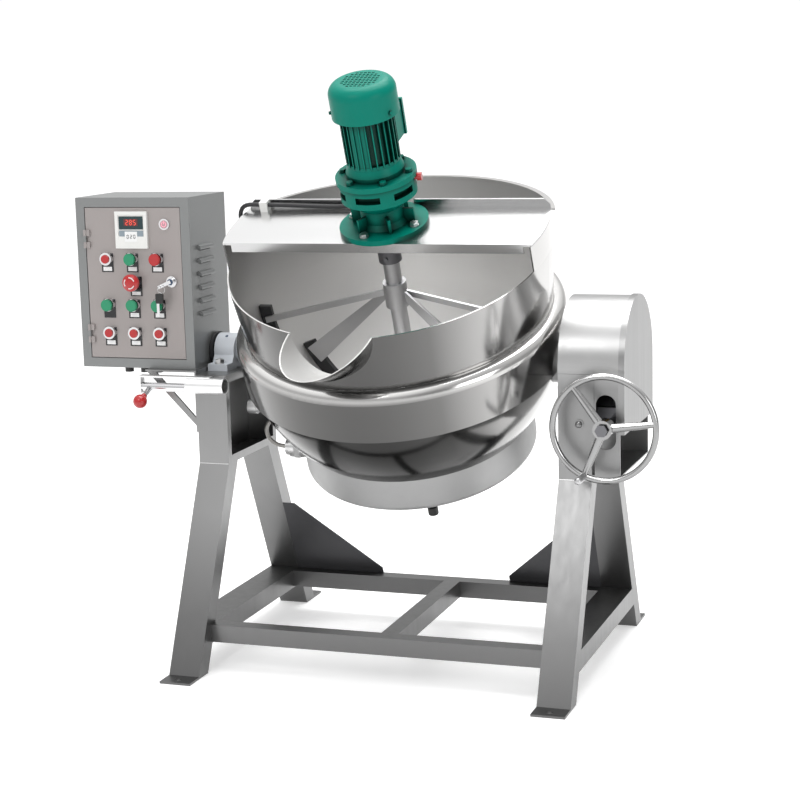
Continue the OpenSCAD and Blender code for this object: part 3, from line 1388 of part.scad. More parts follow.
left_a_frame();
right_a_frame();
base_frame();
rear_gussets();
trunnion_bearings();
bearing_bolts();
bearing_cap();
gear_case();
gear_side_cover();
gear_front_cover();
worm_bearings();
cabinet_shell();
control_gear();
cabinet_bracket();
cabinet_glands();
lock_sleeve();
lock_bolt();
inner_bowl();
pouring_spout();
outer_jacket();
heater_drum();
heating_elements();
jacket_plugs();
heater_fitting();
heater_conduit();
left_trunnion();
right_trunnion();
worm_wheel();
bridge_plate();
gearbox_housing();
gearbox_cover();
motor_frame();
fan_cowl();
gearbox_bolts();
vent_plug();
terminal_box();
motor_lead();
lead_clips();
motor_rotor();
agitator_shaft();
shaft_coupling();
scraper_arms();
scraper_blades();
handwheel();
worm_shaft();
wheel_grip();
door_panel();
button_collars();
temperature_controller();
door_lock();
stop_button();
button_1();
button_2();
button_3();
button_4();
button_5();
button_6();
button_7();
button_8();
button_9();
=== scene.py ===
"""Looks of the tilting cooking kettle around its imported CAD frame. Everything is in metres."""
import json
import math

import bpy
from mathutils import Matrix, Vector


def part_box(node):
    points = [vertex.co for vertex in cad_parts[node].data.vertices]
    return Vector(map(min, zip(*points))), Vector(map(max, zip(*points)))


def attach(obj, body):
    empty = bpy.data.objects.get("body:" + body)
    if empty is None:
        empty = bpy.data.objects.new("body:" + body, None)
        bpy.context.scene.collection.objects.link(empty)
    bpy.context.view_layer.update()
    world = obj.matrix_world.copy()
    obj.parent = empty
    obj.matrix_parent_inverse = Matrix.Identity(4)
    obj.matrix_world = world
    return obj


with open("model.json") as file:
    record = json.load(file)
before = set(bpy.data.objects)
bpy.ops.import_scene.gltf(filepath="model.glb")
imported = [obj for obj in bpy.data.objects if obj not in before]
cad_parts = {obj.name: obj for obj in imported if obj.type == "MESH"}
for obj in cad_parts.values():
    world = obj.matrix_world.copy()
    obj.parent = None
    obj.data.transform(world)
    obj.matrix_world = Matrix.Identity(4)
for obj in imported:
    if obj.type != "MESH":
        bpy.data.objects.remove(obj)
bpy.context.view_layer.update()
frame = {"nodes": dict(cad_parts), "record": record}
nodes = frame["nodes"]


def middle(node):
    """Middle of a node's box at rest."""
    low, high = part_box(node)
    return (Vector(low) + Vector(high)) / 2


# The pot turns about its trunnions and leans forward at rest
PIVOT_Z = middle("left_trunnion").z
REST_TILT = math.radians(22)
POT = Matrix.Translation((0, 0, PIVOT_Z)) @ Matrix.Rotation(REST_TILT, 4, "X")
# Height of the bowl's ball centre over the trunnions
BOWL_C = 0.118

# Camera, from the fit to the photograph, with its angles in degrees and its lens in millimetres
AZIMUTH = 19.51
PITCH = 9.76
ROLL = -1.51
LENS = 85.87
CAMERA_AT = (1.4362, -4.1068, 1.3436)


def place_camera():
    """Camera that looks along the fitted angles, with its roll about the line of sight."""
    azimuth, pitch, roll = (math.radians(angle) for angle in (AZIMUTH, PITCH, ROLL))
    level = math.cos(pitch)
    back = Vector((math.sin(azimuth) * level, -math.cos(azimuth) * level, math.sin(pitch)))
    right = Vector((math.cos(azimuth), math.sin(azimuth), 0))
    up = back.cross(right)
    side = math.cos(roll) * right + math.sin(roll) * up
    top = -math.sin(roll) * right + math.cos(roll) * up
    data = bpy.data.cameras.new("camera")
    data.sensor_width = 36
    data.lens = LENS
    data.clip_end = 50
    camera = bpy.data.objects.new("camera", data)
    bpy.context.scene.collection.objects.link(camera)
    turn = Matrix((side, top, back)).transposed().to_4x4()
    camera.matrix_world = Matrix.Translation(CAMERA_AT) @ turn
    bpy.context.scene.camera = camera


# Steps of shader nodes
def join(tree, value, socket):
    """Link another socket in, or set a plain value."""
    if hasattr(value, "links"):
        tree.links.new(value, socket)
    else:
        socket.default_value = value


def maths(tree, operation, a, b):
    """One step of arithmetic between sockets or numbers."""
    node = tree.nodes.new("ShaderNodeMath")
    node.operation = operation
    join(tree, a, node.inputs[0])
    join(tree, b, node.inputs[1])
    return node.outputs[0]


def vector_maths(tree, operation, a, b):
    """One step of arithmetic between vectors, as a node."""
    node = tree.nodes.new("ShaderNodeVectorMath")
    node.operation = operation
    join(tree, a, node.inputs[0])
    join(tree, b, node.inputs[1])
    return node


def split(tree, vector):
    """X, Y and Z of a vector."""
    node = tree.nodes.new("ShaderNodeSeparateXYZ")
    tree.links.new(vector, node.inputs["Vector"])
    return node.outputs["X"], node.outputs["Y"], node.outputs["Z"]


def coordinates(tree, kind):
    """Socket with one kind of texture coordinate."""
    return tree.nodes.new("ShaderNodeTexCoord").outputs[kind]


def gray_ramp(tree, value, stops):
    """Gray that follows a value from 0 to 1, through stops of a place and a gray."""
    node = tree.nodes.new("ShaderNodeValToRGB")
    elements = node.color_ramp.elements
    while len(elements) < len(stops):
        elements.new(0.5)
    for element, (place, gray) in zip(elements, stops):
        element.position = place
    for element, (place, gray) in zip(elements, stops):
        element.color = (gray, gray, gray, 1)
    tree.links.new(value, node.inputs["Fac"])
    return node.outputs["Color"]


def upward(tree, normal_z):
    """0 for a face that looks down, 1 for one that looks up."""
    return maths(tree, "MULTIPLY", maths(tree, "ADD", normal_z, 1.0), 0.5)


# Materials
MAT = {}
GRAIN_DEPTH = 0.0005


def material(name, color, metallic=0.0, rough=0.5, coat=0.0):
    m = bpy.data.materials.new(name)
    m.use_nodes = True
    shader = m.node_tree.nodes["Principled BSDF"]
    shader.inputs["Base Color"].default_value = (*color, 1)
    shader.inputs["Metallic"].default_value = metallic
    shader.inputs["Roughness"].default_value = rough
    shader.inputs["Coat Weight"].default_value = coat
    MAT[name] = m
    return m


def glowing(name, color, rough, glow, strength):
    """Plain color that also gives off light of its own."""
    m = material(name, color, rough=rough)
    shader = m.node_tree.nodes["Principled BSDF"]
    shader.inputs["Emission Color"].default_value = (*glow, 1)
    shader.inputs["Emission Strength"].default_value = strength
    return m


def grained(name, color, scale, rough, bump=0.0, metallic=0.0, coat=0.0, stretch=(1, 1, 1)):
    """Finish with uneven roughness from noise, and fine relief where bump is set."""
    m = material(name, color, metallic, coat=coat)
    tree = m.node_tree
    shader = tree.nodes["Principled BSDF"]
    mapping = tree.nodes.new("ShaderNodeMapping")
    mapping.inputs["Scale"].default_value = stretch
    noise = tree.nodes.new("ShaderNodeTexNoise")
    noise.inputs["Scale"].default_value = scale
    noise.inputs["Detail"].default_value = 4
    spread = tree.nodes.new("ShaderNodeMapRange")
    spread.inputs["To Min"].default_value, spread.inputs["To Max"].default_value = rough
    tree.links.new(coordinates(tree, "Object"), mapping.inputs["Vector"])
    tree.links.new(mapping.outputs["Vector"], noise.inputs["Vector"])
    tree.links.new(noise.outputs["Fac"], spread.inputs["Value"])
    tree.links.new(spread.outputs["Result"], shader.inputs["Roughness"])
    if bump:
        relief = tree.nodes.new("ShaderNodeBump")
        relief.inputs["Strength"].default_value = bump
        relief.inputs["Distance"].default_value = GRAIN_DEPTH
        tree.links.new(noise.outputs["Fac"], relief.inputs["Height"])
        tree.links.new(relief.outputs["Normal"], shader.inputs["Normal"])
    return m


# The polished front of the tilt lock lies left of, ahead of and above these, and gets a painted sheen that
# makes it lighter
LOCK_RIGHT = -0.38
LOCK_BACK = -0.146
LOCK_FOOT = 0.612
LOCK_SHEEN_LIFT = 0.56


def shade_by_height(m, stops):
    """Painted light and shade: gray that changes with the height over the floor, up to a metre, with a
    painted sheen added on the front of the tilt lock.
    """
    tree = m.node_tree
    x, y, z = split(tree, coordinates(tree, "Object"))
    left = maths(tree, "LESS_THAN", x, LOCK_RIGHT)
    ahead = maths(tree, "LESS_THAN", y, LOCK_BACK)
    above = maths(tree, "GREATER_THAN", z, LOCK_FOOT)
    lock = maths(tree, "MULTIPLY", maths(tree, "MULTIPLY", left, ahead), above)
    level = maths(tree, "ADD", gray_ramp(tree, z, stops), maths(tree, "MULTIPLY", lock, LOCK_SHEEN_LIFT))
    tree.links.new(level, tree.nodes["Principled BSDF"].inputs["Base Color"])


def shade_by_facing(m, stops):
    """Painted light and shade: gray that changes with the way a face looks, from down to up."""
    tree = m.node_tree
    normal = split(tree, coordinates(tree, "Normal"))
    gray = gray_ramp(tree, upward(tree, normal[2]), stops)
    tree.links.new(gray, tree.nodes["Principled BSDF"].inputs["Base Color"])


def crevice_shade(m, deep, reach, sharpness, shine):
    """Painted shade: paint that is darker in the gaps between fins and under edges, where shade falls."""
    tree = m.node_tree
    shader = tree.nodes["Principled BSDF"]
    shade = tree.nodes.new("ShaderNodeAmbientOcclusion")
    shade.inputs["Distance"].default_value = reach
    mix = tree.nodes.new("ShaderNodeMix")
    mix.data_type = "RGBA"
    mix.inputs["A"].default_value = (*deep, 1)
    mix.inputs["B"].default_value = shader.inputs["Base Color"].default_value[:]
    tree.links.new(maths(tree, "POWER", shade.outputs["AO"], sharpness), mix.inputs["Factor"])
    tree.links.new(mix.outputs["Result"], shader.inputs["Base Color"])
    shader.inputs["Specular IOR Level"].default_value = shine


# Outside of the pot: painted reflections and shade, grays from down to up, lighter at both sides and most at
# the right
OUTSIDE_SHADE = ((0.0, 0.04), (0.2, 0.05), (0.34, 0.12), (0.46, 0.29), (0.62, 0.6), (1.0, 0.8))
SIDE_SHEEN = 0.14
RIGHT_SHEEN = 0.5
RIGHT_START = 0.5
# Inside of the bowl: satin, with painted shade that makes it lightest low in the middle
INSIDE_GRAY = 0.97
INSIDE_METAL = 0.5
INSIDE_ROUGH = 0.42
INSIDE_SHADE_UP = ((0.0, 1.0), (0.3, 1.0), (0.5, 0.82), (0.7, 0.6), (1.0, 0.38))
INSIDE_LOW = -0.25
INSIDE_TALL = 0.5
INSIDE_SHADE_ACROSS = ((0.0, 0.5), (0.2, 0.74), (0.36, 1.0), (0.62, 1.0), (0.86, 0.86), (1.0, 0.62))
INSIDE_LEFT = -0.37
INSIDE_PER_WIDTH = 1.35
# Share of each channel in the warm gray of the steel
STEEL_TINT = {"Red": 1.0, "Green": 0.99, "Blue": 0.975}


def outside_painted_gray(tree, normal):
    """Painted reflections and shade on the outside: gray by the way a face looks."""
    x, y, z = split(tree, normal)
    sides = maths(tree, "MULTIPLY", maths(tree, "MULTIPLY", x, x), SIDE_SHEEN)
    right = maths(tree, "MAXIMUM", maths(tree, "SUBTRACT", x, RIGHT_START), 0.0)
    lift = maths(tree, "ADD", sides, maths(tree, "MULTIPLY", right, RIGHT_SHEEN))
    return maths(tree, "ADD", gray_ramp(tree, upward(tree, z), OUTSIDE_SHADE), lift)


def inside_painted_gray(tree, from_centre, place):
    """Painted shade on the inside: gray by the height along the pot's axis and from left to right."""
    axis = POT.to_3x3() @ Vector((0, 0, 1))
    height = vector_maths(tree, "DOT_PRODUCT", from_centre, axis).outputs["Value"]
    up = maths(tree, "MULTIPLY", maths(tree, "SUBTRACT", height, INSIDE_LOW), 1 / INSIDE_TALL)
    x, y, z = split(tree, place)
    across = maths(tree, "MULTIPLY", maths(tree, "SUBTRACT", x, INSIDE_LEFT), INSIDE_PER_WIDTH)
    gray = maths(tree, "MULTIPLY", gray_ramp(tree, up, INSIDE_SHADE_UP), gray_ramp(tree, across, INSIDE_SHADE_ACROSS))
    return maths(tree, "MULTIPLY", gray, INSIDE_GRAY)


def two_sided(m):
    """Polished outside with painted reflections and shade by the way it faces, and a lighter satin finish
    inside the bowl with painted shade.
    """
    tree = m.node_tree
    shader = tree.nodes["Principled BSDF"]
    place = coordinates(tree, "Object")
    normal = coordinates(tree, "Normal")
    from_centre = vector_maths(tree, "SUBTRACT", place, POT @ Vector((0, 0, BOWL_C))).outputs["Vector"]
    looks_out = vector_maths(tree, "DOT_PRODUCT", from_centre, normal).outputs["Value"]
    inside = maths(tree, "LESS_THAN", looks_out, 0.0)

    def choose(outer, inner):
        """Inner value inside the bowl, outer value elsewhere."""
        step = maths(tree, "MULTIPLY", maths(tree, "SUBTRACT", inner, outer), inside)
        return maths(tree, "ADD", step, outer)

    level = choose(outside_painted_gray(tree, normal), inside_painted_gray(tree, from_centre, place))
    tinted = tree.nodes.new("ShaderNodeCombineColor")
    for channel, share in STEEL_TINT.items():
        tree.links.new(maths(tree, "MULTIPLY", level, share), tinted.inputs[channel])
    tree.links.new(tinted.outputs["Color"], shader.inputs["Base Color"])
    rough = shader.inputs["Roughness"]
    tree.links.new(choose(rough.links[0].from_socket, INSIDE_ROUGH), rough)
    tree.links.new(choose(1.0, INSIDE_METAL), shader.inputs["Metallic"])


def steels():
    """Bare metals."""
    brushed = grained("brushed_stainless", (0.29, 0.29, 0.295), 60, (0.28, 0.42), 0.06, 1,
                      stretch=(1, 1, 0.06))
    # Stand: painted shade and light, darker low down and lighter high up, with a painted sheen on the tilt
    # lock's front
    shade_by_height(brushed, ((0.0, 0.14), (0.13, 0.17), (0.35, 0.27), (0.66, 0.25), (0.72, 0.42), (1.0, 0.45)))
    cover = grained("cover_stainless", (0.3, 0.3, 0.3), 45, (0.22, 0.42), 0.1, 1, stretch=(1, 3, 0.04))
    # Gear side cover: painted light, lighter towards the top
    shade_by_height(cover, ((0.0, 0.26), (0.6, 0.26), (0.75, 0.32), (1.0, 0.34)))
    # Pot: painted reflections and shade outside, painted shade inside
    two_sided(grained("polished_stainless", (0.42, 0.412, 0.405), 14, (0.10, 0.2), metallic=1))
    bridge = grained("bridge_stainless", (0.7, 0.7, 0.7), 30, (0.16, 0.3), 0.04, 1, stretch=(0.05, 1, 1))
    # Bridge plate: painted light, lighter on faces that look up
    shade_by_facing(bridge, ((0.0, 0.42), (0.4, 0.46), (0.6, 0.64), (1.0, 0.74)))
    grained("arm_stainless", (0.5, 0.5, 0.51), 40, (0.3, 0.42), 0.05, 1)
    grained("satin_stainless", (0.37, 0.37, 0.37), 40, (0.42, 0.55), 0.05, 1)
    plug = grained("plug_steel", (0.6, 0.6, 0.6), 50, (0.3, 0.4), metallic=0.8)
    # Plugs: painted shade, nearly black below 0.44 m and light above
    shade_by_height(plug, ((0.0, 0.05), (0.44, 0.05), (0.5, 0.6), (1.0, 0.6)))
    grained("zinc_steel", (0.6, 0.6, 0.6), 80, (0.24, 0.38), 0.05, 1)
    wheel = grained("wheel_chrome", (0.6, 0.6, 0.61), 20, (0.12, 0.2), metallic=1)
    # Handwheel: painted light, lighter on faces that look up
    shade_by_facing(wheel, ((0.0, 0.2), (0.5, 0.3), (0.75, 0.6), (1.0, 0.9)))
    grained("chrome", (0.68, 0.68, 0.69), 20, (0.1, 0.18), metallic=1)
    grained("cast_aluminium", (0.47, 0.47, 0.475), 90, (0.36, 0.46), 0.12, 1)
    grained("machined_iron", (0.16, 0.16, 0.17), 60, (0.34, 0.46), 0.05, 0.9)
    grained("bronze", (0.5, 0.34, 0.13), 60, (0.3, 0.4), 0.05, 1)
    grained("element_sheath", (0.38, 0.37, 0.35), 60, (0.4, 0.52), 0.05, 0.8)
    grained("dark_steel", (0.07, 0.10, 0.16), 60, (0.3, 0.4), metallic=0.6)


def paints():
    """Painted metals."""
    grained("dark_plate", (0.08, 0.08, 0.085), 30, (0.38, 0.52), 0.05, 0.5)
    grained("bearing_paint", (0.6, 0.63, 0.67), 90, (0.34, 0.5), 0.25, 0.2)
    grained("cabinet_steel", (0.23, 0.236, 0.236), 200, (0.36, 0.46), 0.04, 0.55)
    grained("door_paint", (0.33, 0.30, 0.292), 200, (0.38, 0.48), 0.04, 0.25)
    green = grained("green_paint", (0.0, 0.18, 0.132), 120, (0.28, 0.4), 0.1)
    # Green paint: painted shade in the gaps between fins and under edges
    crevice_shade(green, deep=(0.0, 0.012, 0.008), reach=0.03, sharpness=3.0, shine=0.12)


def plastics():
    """Rubber, plastics, labels and screens."""
    grained("black_rubber", (0.012, 0.012, 0.014), 150, (0.42, 0.6), 0.08)
    grained("black_plastic", (0.01, 0.01, 0.01), 150, (0.34, 0.46), 0.04)
    grained("black_gloss", (0.01, 0.01, 0.012), 60, (0.2, 0.3))
    grained("red_plastic", (0.42, 0.01, 0.012), 150, (0.26, 0.36), 0.03, coat=0.3)
    grained("green_plastic", (0.003, 0.24, 0.11), 150, (0.26, 0.36), 0.03, coat=0.3)
    grained("white_plastic", (0.75, 0.75, 0.73), 150, (0.36, 0.46), 0.03)
    grained("label_white", (0.8, 0.8, 0.8), 100, (0.42, 0.55))
    grained("screen_teal", (0.006, 0.03, 0.035), 40, (0.16, 0.24))
    grained("window_rust", (0.12, 0.02, 0.02), 40, (0.24, 0.34))
    grained("panel_gray", (0.24, 0.29, 0.33), 100, (0.36, 0.46))
    grained("lamp_lens", (0.50, 0.30, 0.33), 60, (0.24, 0.34))
    glowing("digit_red", (0.5, 0.03, 0.02), 0.4, (0.9, 0.12, 0.08), 0.8)
    glowing("lamp_mark", (0.85, 0.25, 0.35), 0.3, (1.0, 0.55, 0.65), 0.5)


# Nodes whose finish differs from that of their slot in the record, some with painted light and shade
LOOKS = {"bridge_plate": "bridge_stainless", "scraper_arms": "arm_stainless",
         "agitator_shaft": "arm_stainless", "gear_side_cover": "cover_stainless",
         "jacket_plugs": "plug_steel", "handwheel": "wheel_chrome"}


def dress_nodes():
    """Give each CAD node its finish."""
    for part in frame["record"]["subparts"]:
        slots = nodes[part["node"]].data.materials
        slots.clear()
        slots.append(MAT[LOOKS.get(part["node"], part["material_slot"])])


# Stage: the world that the metal shows, by height and from left to right
WORLD_UP = ((0.0, 1.05), (0.06, 1.0), (0.16, 0.7), (0.34, 0.6), (0.55, 1.0), (1.0, 1.4))
WORLD_RIGHT = ((0.0, 1.0), (0.15, 0.9), (0.45, 0.56), (1.0, 0.46))
FLOOR_GRAY = 0.85
FLOOR_GLOW = 0.4
FLOOR_SIZE = 600
FLOOR_Z = -0.0005
# Each lamp's name, place, width and power in watts; all of them point at the pot
LAMPS = (("key", (-0.9, -3.4, 3.1), 1.2, 25),
         ("fill", (3.4, -2.2, 1.6), 1.8, 30),
         ("top", (0.2, 0.4, 4.0), 2.8, 130))
LAMP_AIM = Vector((0, 0, 0.7))


def make_world():
    """World whose brightness changes with the direction."""
    world = bpy.data.worlds.new("world")
    world.use_nodes = True
    bpy.context.scene.world = world
    tree = world.node_tree
    background = tree.nodes["Background"]
    x, y, z = split(tree, coordinates(tree, "Generated"))
    both = tree.nodes.new("ShaderNodeMix")
    both.data_type = "RGBA"
    both.blend_type = "MULTIPLY"
    both.inputs["Factor"].default_value = 1.0
    tree.links.new(gray_ramp(tree, z, WORLD_UP), both.inputs["A"])
    tree.links.new(gray_ramp(tree, x, WORLD_RIGHT), both.inputs["B"])
    tree.links.new(both.outputs["Result"], background.inputs["Color"])
    background.inputs["Strength"].default_value = 1.0


def make_floor():
    """White floor that is brighter for the camera and in reflections, and keeps the shadow."""
    bpy.ops.mesh.primitive_plane_add(size=FLOOR_SIZE, location=(0, 0, FLOOR_Z))
    floor = bpy.context.object
    floor.name = "floor"
    m = glowing("floor_white", (FLOOR_GRAY, FLOOR_GRAY, FLOOR_GRAY), 0.9, (1, 1, 1), FLOOR_GLOW)
    floor.data.materials.append(m)
    tree = m.node_tree
    rays = tree.nodes.new("ShaderNodeLightPath")
    seen = maths(tree, "MAXIMUM", rays.outputs["Is Camera Ray"], rays.outputs["Is Glossy Ray"])
    seen = maths(tree, "MAXIMUM", seen, rays.outputs["Is Transmission Ray"])
    glow = maths(tree, "MULTIPLY", seen, FLOOR_GLOW)
    tree.links.new(glow, tree.nodes["Principled BSDF"].inputs["Emission Strength"])


def make_lamps():
    for name, place, width, power in LAMPS:
        data = bpy.data.lights.new(name, "AREA")
        data.size = width
        data.energy = power
        lamp = bpy.data.objects.new(name, data)
        bpy.context.scene.collection.objects.link(lamp)
        lamp.location = place
        lamp.rotation_euler = (Vector(place) - LAMP_AIM).to_track_quat("Z", "Y").to_euler()


# Shapes of the small pieces
def new_piece(name, body, mat, verts, faces, bevel=0.0, smooth=False, place=None):
    """Mesh piece on a body, with its points moved by place where that is set."""
    mesh = bpy.data.meshes.new(name)
    mesh.from_pydata([tuple(place @ Vector(v)) if place else tuple(v) for v in verts], [], faces)
    mesh.validate()
    mesh.materials.append(MAT[mat])
    obj = bpy.data.objects.new(name, mesh)
    bpy.context.scene.collection.objects.link(obj)
    if smooth:
        for face in mesh.polygons:
            face.use_smooth = len(face.vertices) == 4
    if bevel:
        mod = obj.modifiers.new("bevel", "BEVEL")
        mod.width = bevel
        mod.segments = 2
        mod.limit_method = "ANGLE"
    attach(obj, body)
    return obj


def block(name, body, mat, low, high, bevel=0.0):
    """Box between its lowest and highest corners."""
    verts = [(x, y, z) for x in (low[0], high[0]) for y in (low[1], high[1]) for z in (low[2], high[2])]
    faces = [(0, 1, 3, 2), (4, 6, 7, 5), (0, 4, 5, 1), (2, 3, 7, 6), (0, 2, 6, 4), (1, 5, 7, 3)]
    return new_piece(name, body, mat, verts, faces, bevel)


def rod(name, body, mat, start, end, r0, r1, sides=24, place=None):
    """Round or many-sided rod that narrows from r0 to r1."""
    start, end = Vector(start), Vector(end)
    turn = (end - start).to_track_quat("Z", "Y").to_matrix()
    verts = []
    for at, r in ((start, r0), (end, r1)):
        for i in range(sides):
            a = 2 * math.pi * i / sides
            verts.append(at + turn @ Vector((r * math.cos(a), r * math.sin(a), 0)))
    faces = [tuple(range(sides - 1, -1, -1)), tuple(range(sides, 2 * sides))]
    faces += [(i, (i + 1) % sides, sides + (i + 1) % sides, sides + i) for i in range(sides)]
    return new_piece(name, body, mat, verts, faces, smooth=sides > 8, place=place)


def hoop(name, body, mat, centre, axis, radius, tube, start=0.0, sweep=360.0, steps=48, ring=8):
    """Tube along an arc round axis; angles in degrees from the axis's own X."""
    turn = Vector(axis).to_track_quat("Z", "Y").to_matrix()
    closed = sweep >= 360
    count = steps if closed else steps + 1
    verts, faces = [], []
    for i in range(count):
        a = math.radians(start + sweep * i / steps)
        out = Vector((math.cos(a), math.sin(a), 0))
        for j in range(ring):
            b = 2 * math.pi * j / ring
            rise = Vector((0, 0, tube * math.sin(b)))
            verts.append(Vector(centre) + turn @ (out * (radius + tube * math.cos(b)) + rise))
    for i in range(count if closed else count - 1):
        k = (i + 1) % count
        for j in range(ring):
            n = (j + 1) % ring
            faces.append((i * ring + j, k * ring + j, k * ring + n, i * ring + n))
    if not closed:
        faces += [tuple(range(ring - 1, -1, -1)), tuple((count - 1) * ring + j for j in range(ring))]
    return new_piece(name, body, mat, verts, faces, smooth=True)


def ball(name, body, mat, centre, radius, rings=14, sides=28):
    """Ball of rings of flat faces, from its top to its bottom."""
    verts, faces = [], []
    for i in range(rings + 1):
        a = math.pi * i / rings
        for j in range(sides):
            b = 2 * math.pi * j / sides
            out = Vector((math.sin(a) * math.cos(b), math.sin(a) * math.sin(b), math.cos(a)))
            verts.append(Vector(centre) + radius * out)
    for i in range(rings):
        for j in range(sides):
            k = (j + 1) % sides
            faces.append((i * sides + j, (i + 1) * sides + j, (i + 1) * sides + k, i * sides + k))
    return new_piece(name, body, mat, verts, faces, smooth=True)


# Front of the door, and how far the faces of the plates on it stand out
DOOR_FACE = -0.119
PLATE_OUT = 0.0012
LABEL_OUT = 0.0018
SCREEN_OUT = 0.0062
WINDOW_OUT = 0.0066
THUMBWHEEL_OUT = 0.0074
PLATE_T = 0.0008
# Widths and heights of the plates
BUTTON_PLATE = (0.030, 0.044)
BUTTON_LABEL = (0.022, 0.0095)
STOP_PLATE = (0.030, 0.046)
STOP_LABEL = (0.022, 0.008)
HALF_SCREEN = (0.062, 0.030)
WINDOW = (0.036, 0.016)
THUMBWHEELS = (0.032, 0.024)
# Places of the plates, from the middle of their button or controller
PLATE_DOWN = 0.009
LABEL_DOWN = 0.0235
STOP_RIGHT = 0.004
STOP_PLATE_DOWN = 0.010
STOP_LABEL_DOWN = 0.0265
HALF_DOWN = 0.0165
WINDOW_UP = 0.0175
THUMBWHEEL_DOWN = 0.0155
BUTTON_COUNT = 9
# The button without a white label
BARE_BUTTON = 4


def on_door(at, right=0.0, down=0.0, out=0.0):
    """Point on the door beside the place at, and out towards the front."""
    return Vector((at.x + right, DOOR_FACE - out, at.z - down))


def plate(name, mat, size, at, down, out, right=0.0):
    """Thin plate with its middle right of and below the place at, and its face out from the door."""
    w, h = size
    low = on_door(at, right - w / 2, down + h / 2, out)
    high = on_door(at, right + w / 2, down - h / 2, out - PLATE_T)
    return block(name, "door", mat, low, high)


def legends():
    """Black plates behind the buttons, each with a white label under its button."""
    for i in range(1, BUTTON_COUNT + 1):
        at = middle("button_%d" % i)
        plate("legend_plate_%d" % i, "black_gloss", BUTTON_PLATE, at, PLATE_DOWN, PLATE_OUT)
        if i != BARE_BUTTON:
            plate("legend_label_%d" % i, "label_white", BUTTON_LABEL, at, LABEL_DOWN, LABEL_OUT)
    at = middle("stop_button")
    plate("legend_plate_stop", "black_gloss", STOP_PLATE, at, STOP_PLATE_DOWN, PLATE_OUT, STOP_RIGHT)
    plate("legend_label_stop", "label_white", STOP_LABEL, at, STOP_LABEL_DOWN, LABEL_OUT, STOP_RIGHT)


# White arcs on the head of the stop button
ARC_COUNT = 3
ARC_OUT = 0.0285
ARC_R = 0.0128
ARC_LINE_R = 0.0012
ARC_START = 20
ARC_SWEEP = 74
FORWARD = (0, -1, 0)


def stop_marks():
    """Arcs round the head of the stop button."""
    centre = on_door(middle("stop_button"), out=ARC_OUT)
    for i in range(ARC_COUNT):
        hoop("stop_arrow_%d" % (i + 1), "stop", "label_white", centre, FORWARD, ARC_R, ARC_LINE_R,
             start=ARC_START + i * 360 / ARC_COUNT, sweep=ARC_SWEEP, steps=14, ring=6)


# Strokes of the figures: a is the top bar, g the middle one and d the lowest
SEGMENTS = {"0": "abcdef", "2": "abdeg", "5": "acdfg", "8": "abcdefg"}
FIGURE_SHAPE = 0.52
FIGURE_T = 0.0004
BAR_FACES = ((0, 1, 2, 3), (7, 6, 5, 4), (0, 4, 5, 1), (1, 5, 6, 2), (2, 6, 7, 3), (3, 7, 4, 0))


def figure(name, mat, text, at, right, down, out, h, thick):
    """One seven-segment figure of height h, its strokes as bars in one mesh."""
    w = h * FIGURE_SHAPE
    bars = {"a": (0, h / 2, 1), "g": (0, 0, 1), "d": (0, -h / 2, 1), "b": (w / 2, h / 4, 0),
            "c": (w / 2, -h / 4, 0), "f": (-w / 2, h / 4, 0), "e": (-w / 2, -h / 4, 0)}
    verts, faces = [], []
    for key in SEGMENTS[text]:
        cx, cz, flat = bars[key]
        hx, hz = (w / 2 - thick, thick) if flat else (thick, h / 4 - thick)
        base = len(verts)
        for rise in (0, FIGURE_T):
            for sx, sz in ((-1, -1), (1, -1), (1, 1), (-1, 1)):
                verts.append(on_door(at, right + cx + sx * hx, down - cz - sz * hz, out + rise))
        faces += [tuple(base + k for k in face) for face in BAR_FACES]
    return new_piece(name, "door", mat, verts, faces)


def figures(name, mat, text, at, down, out, h, step, thick):
    """Row of three figures, the middle one straight below the place at."""
    for i, one in enumerate(text):
        figure("%s_%d" % (name, i + 1), mat, one, at, step * (i - 1), down, out, h, thick)


def controller():
    """Display and thumbwheels of the temperature controller."""
    at = middle("temperature_controller")
    plate("controller_screen", "screen_teal", HALF_SCREEN, at, -HALF_DOWN, SCREEN_OUT)
    plate("controller_window", "window_rust", WINDOW, at, -WINDOW_UP, WINDOW_OUT)
    figures("controller_figure", "digit_red", "285", at, -WINDOW_UP, WINDOW_OUT,
            h=0.011, step=0.010, thick=0.0009)
    plate("controller_lower", "panel_gray", HALF_SCREEN, at, HALF_DOWN, SCREEN_OUT)
    plate("thumbwheel_block", "label_white", THUMBWHEELS, at, THUMBWHEEL_DOWN, THUMBWHEEL_OUT)
    figures("thumbwheel_figure", "black_gloss", "020", at, THUMBWHEEL_DOWN, THUMBWHEEL_OUT,
            h=0.008, step=0.0085, thick=0.0006)


# Pilot lamp: its collar is the highest and the farthest right of all collars
COLLAR_R = 0.013
LENS_BACK = 0.0041
LENS_FRONT = 0.0052
MARK_R = 0.0056
MARK_LINE_R = 0.0006
STROKE = Vector((0.0012, 0.0006, 0.0068))


def lamp():
    """Lens of the pilot lamp, with a ring and a stroke on it."""
    corner = Vector(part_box("button_collars")[1])
    at = corner - Vector((COLLAR_R, 0, COLLAR_R))
    rod("lamp_lens", "door", "lamp_lens", on_door(at, out=LENS_BACK), on_door(at, out=LENS_FRONT),
        0.0096, 0.0092, sides=32)
    hoop("lamp_ring", "door", "lamp_mark", on_door(at, out=0.0053), FORWARD, MARK_R, MARK_LINE_R,
         start=118, sweep=304, steps=28, ring=6)
    low = on_door(at, right=-STROKE.x / 2, down=-0.0006, out=LENS_FRONT + STROKE.y)
    block("lamp_stroke", "door", "lamp_mark", low, low + STROKE)


# Door lock: its barrel is the highest and the farthest right of its shapes
BARREL_R = 0.013
SLOT_BACK = 0.0122
SLOT_FRONT = 0.0136
KEY_RING_R = 0.0085
KEY_WIRE_R = 0.0007


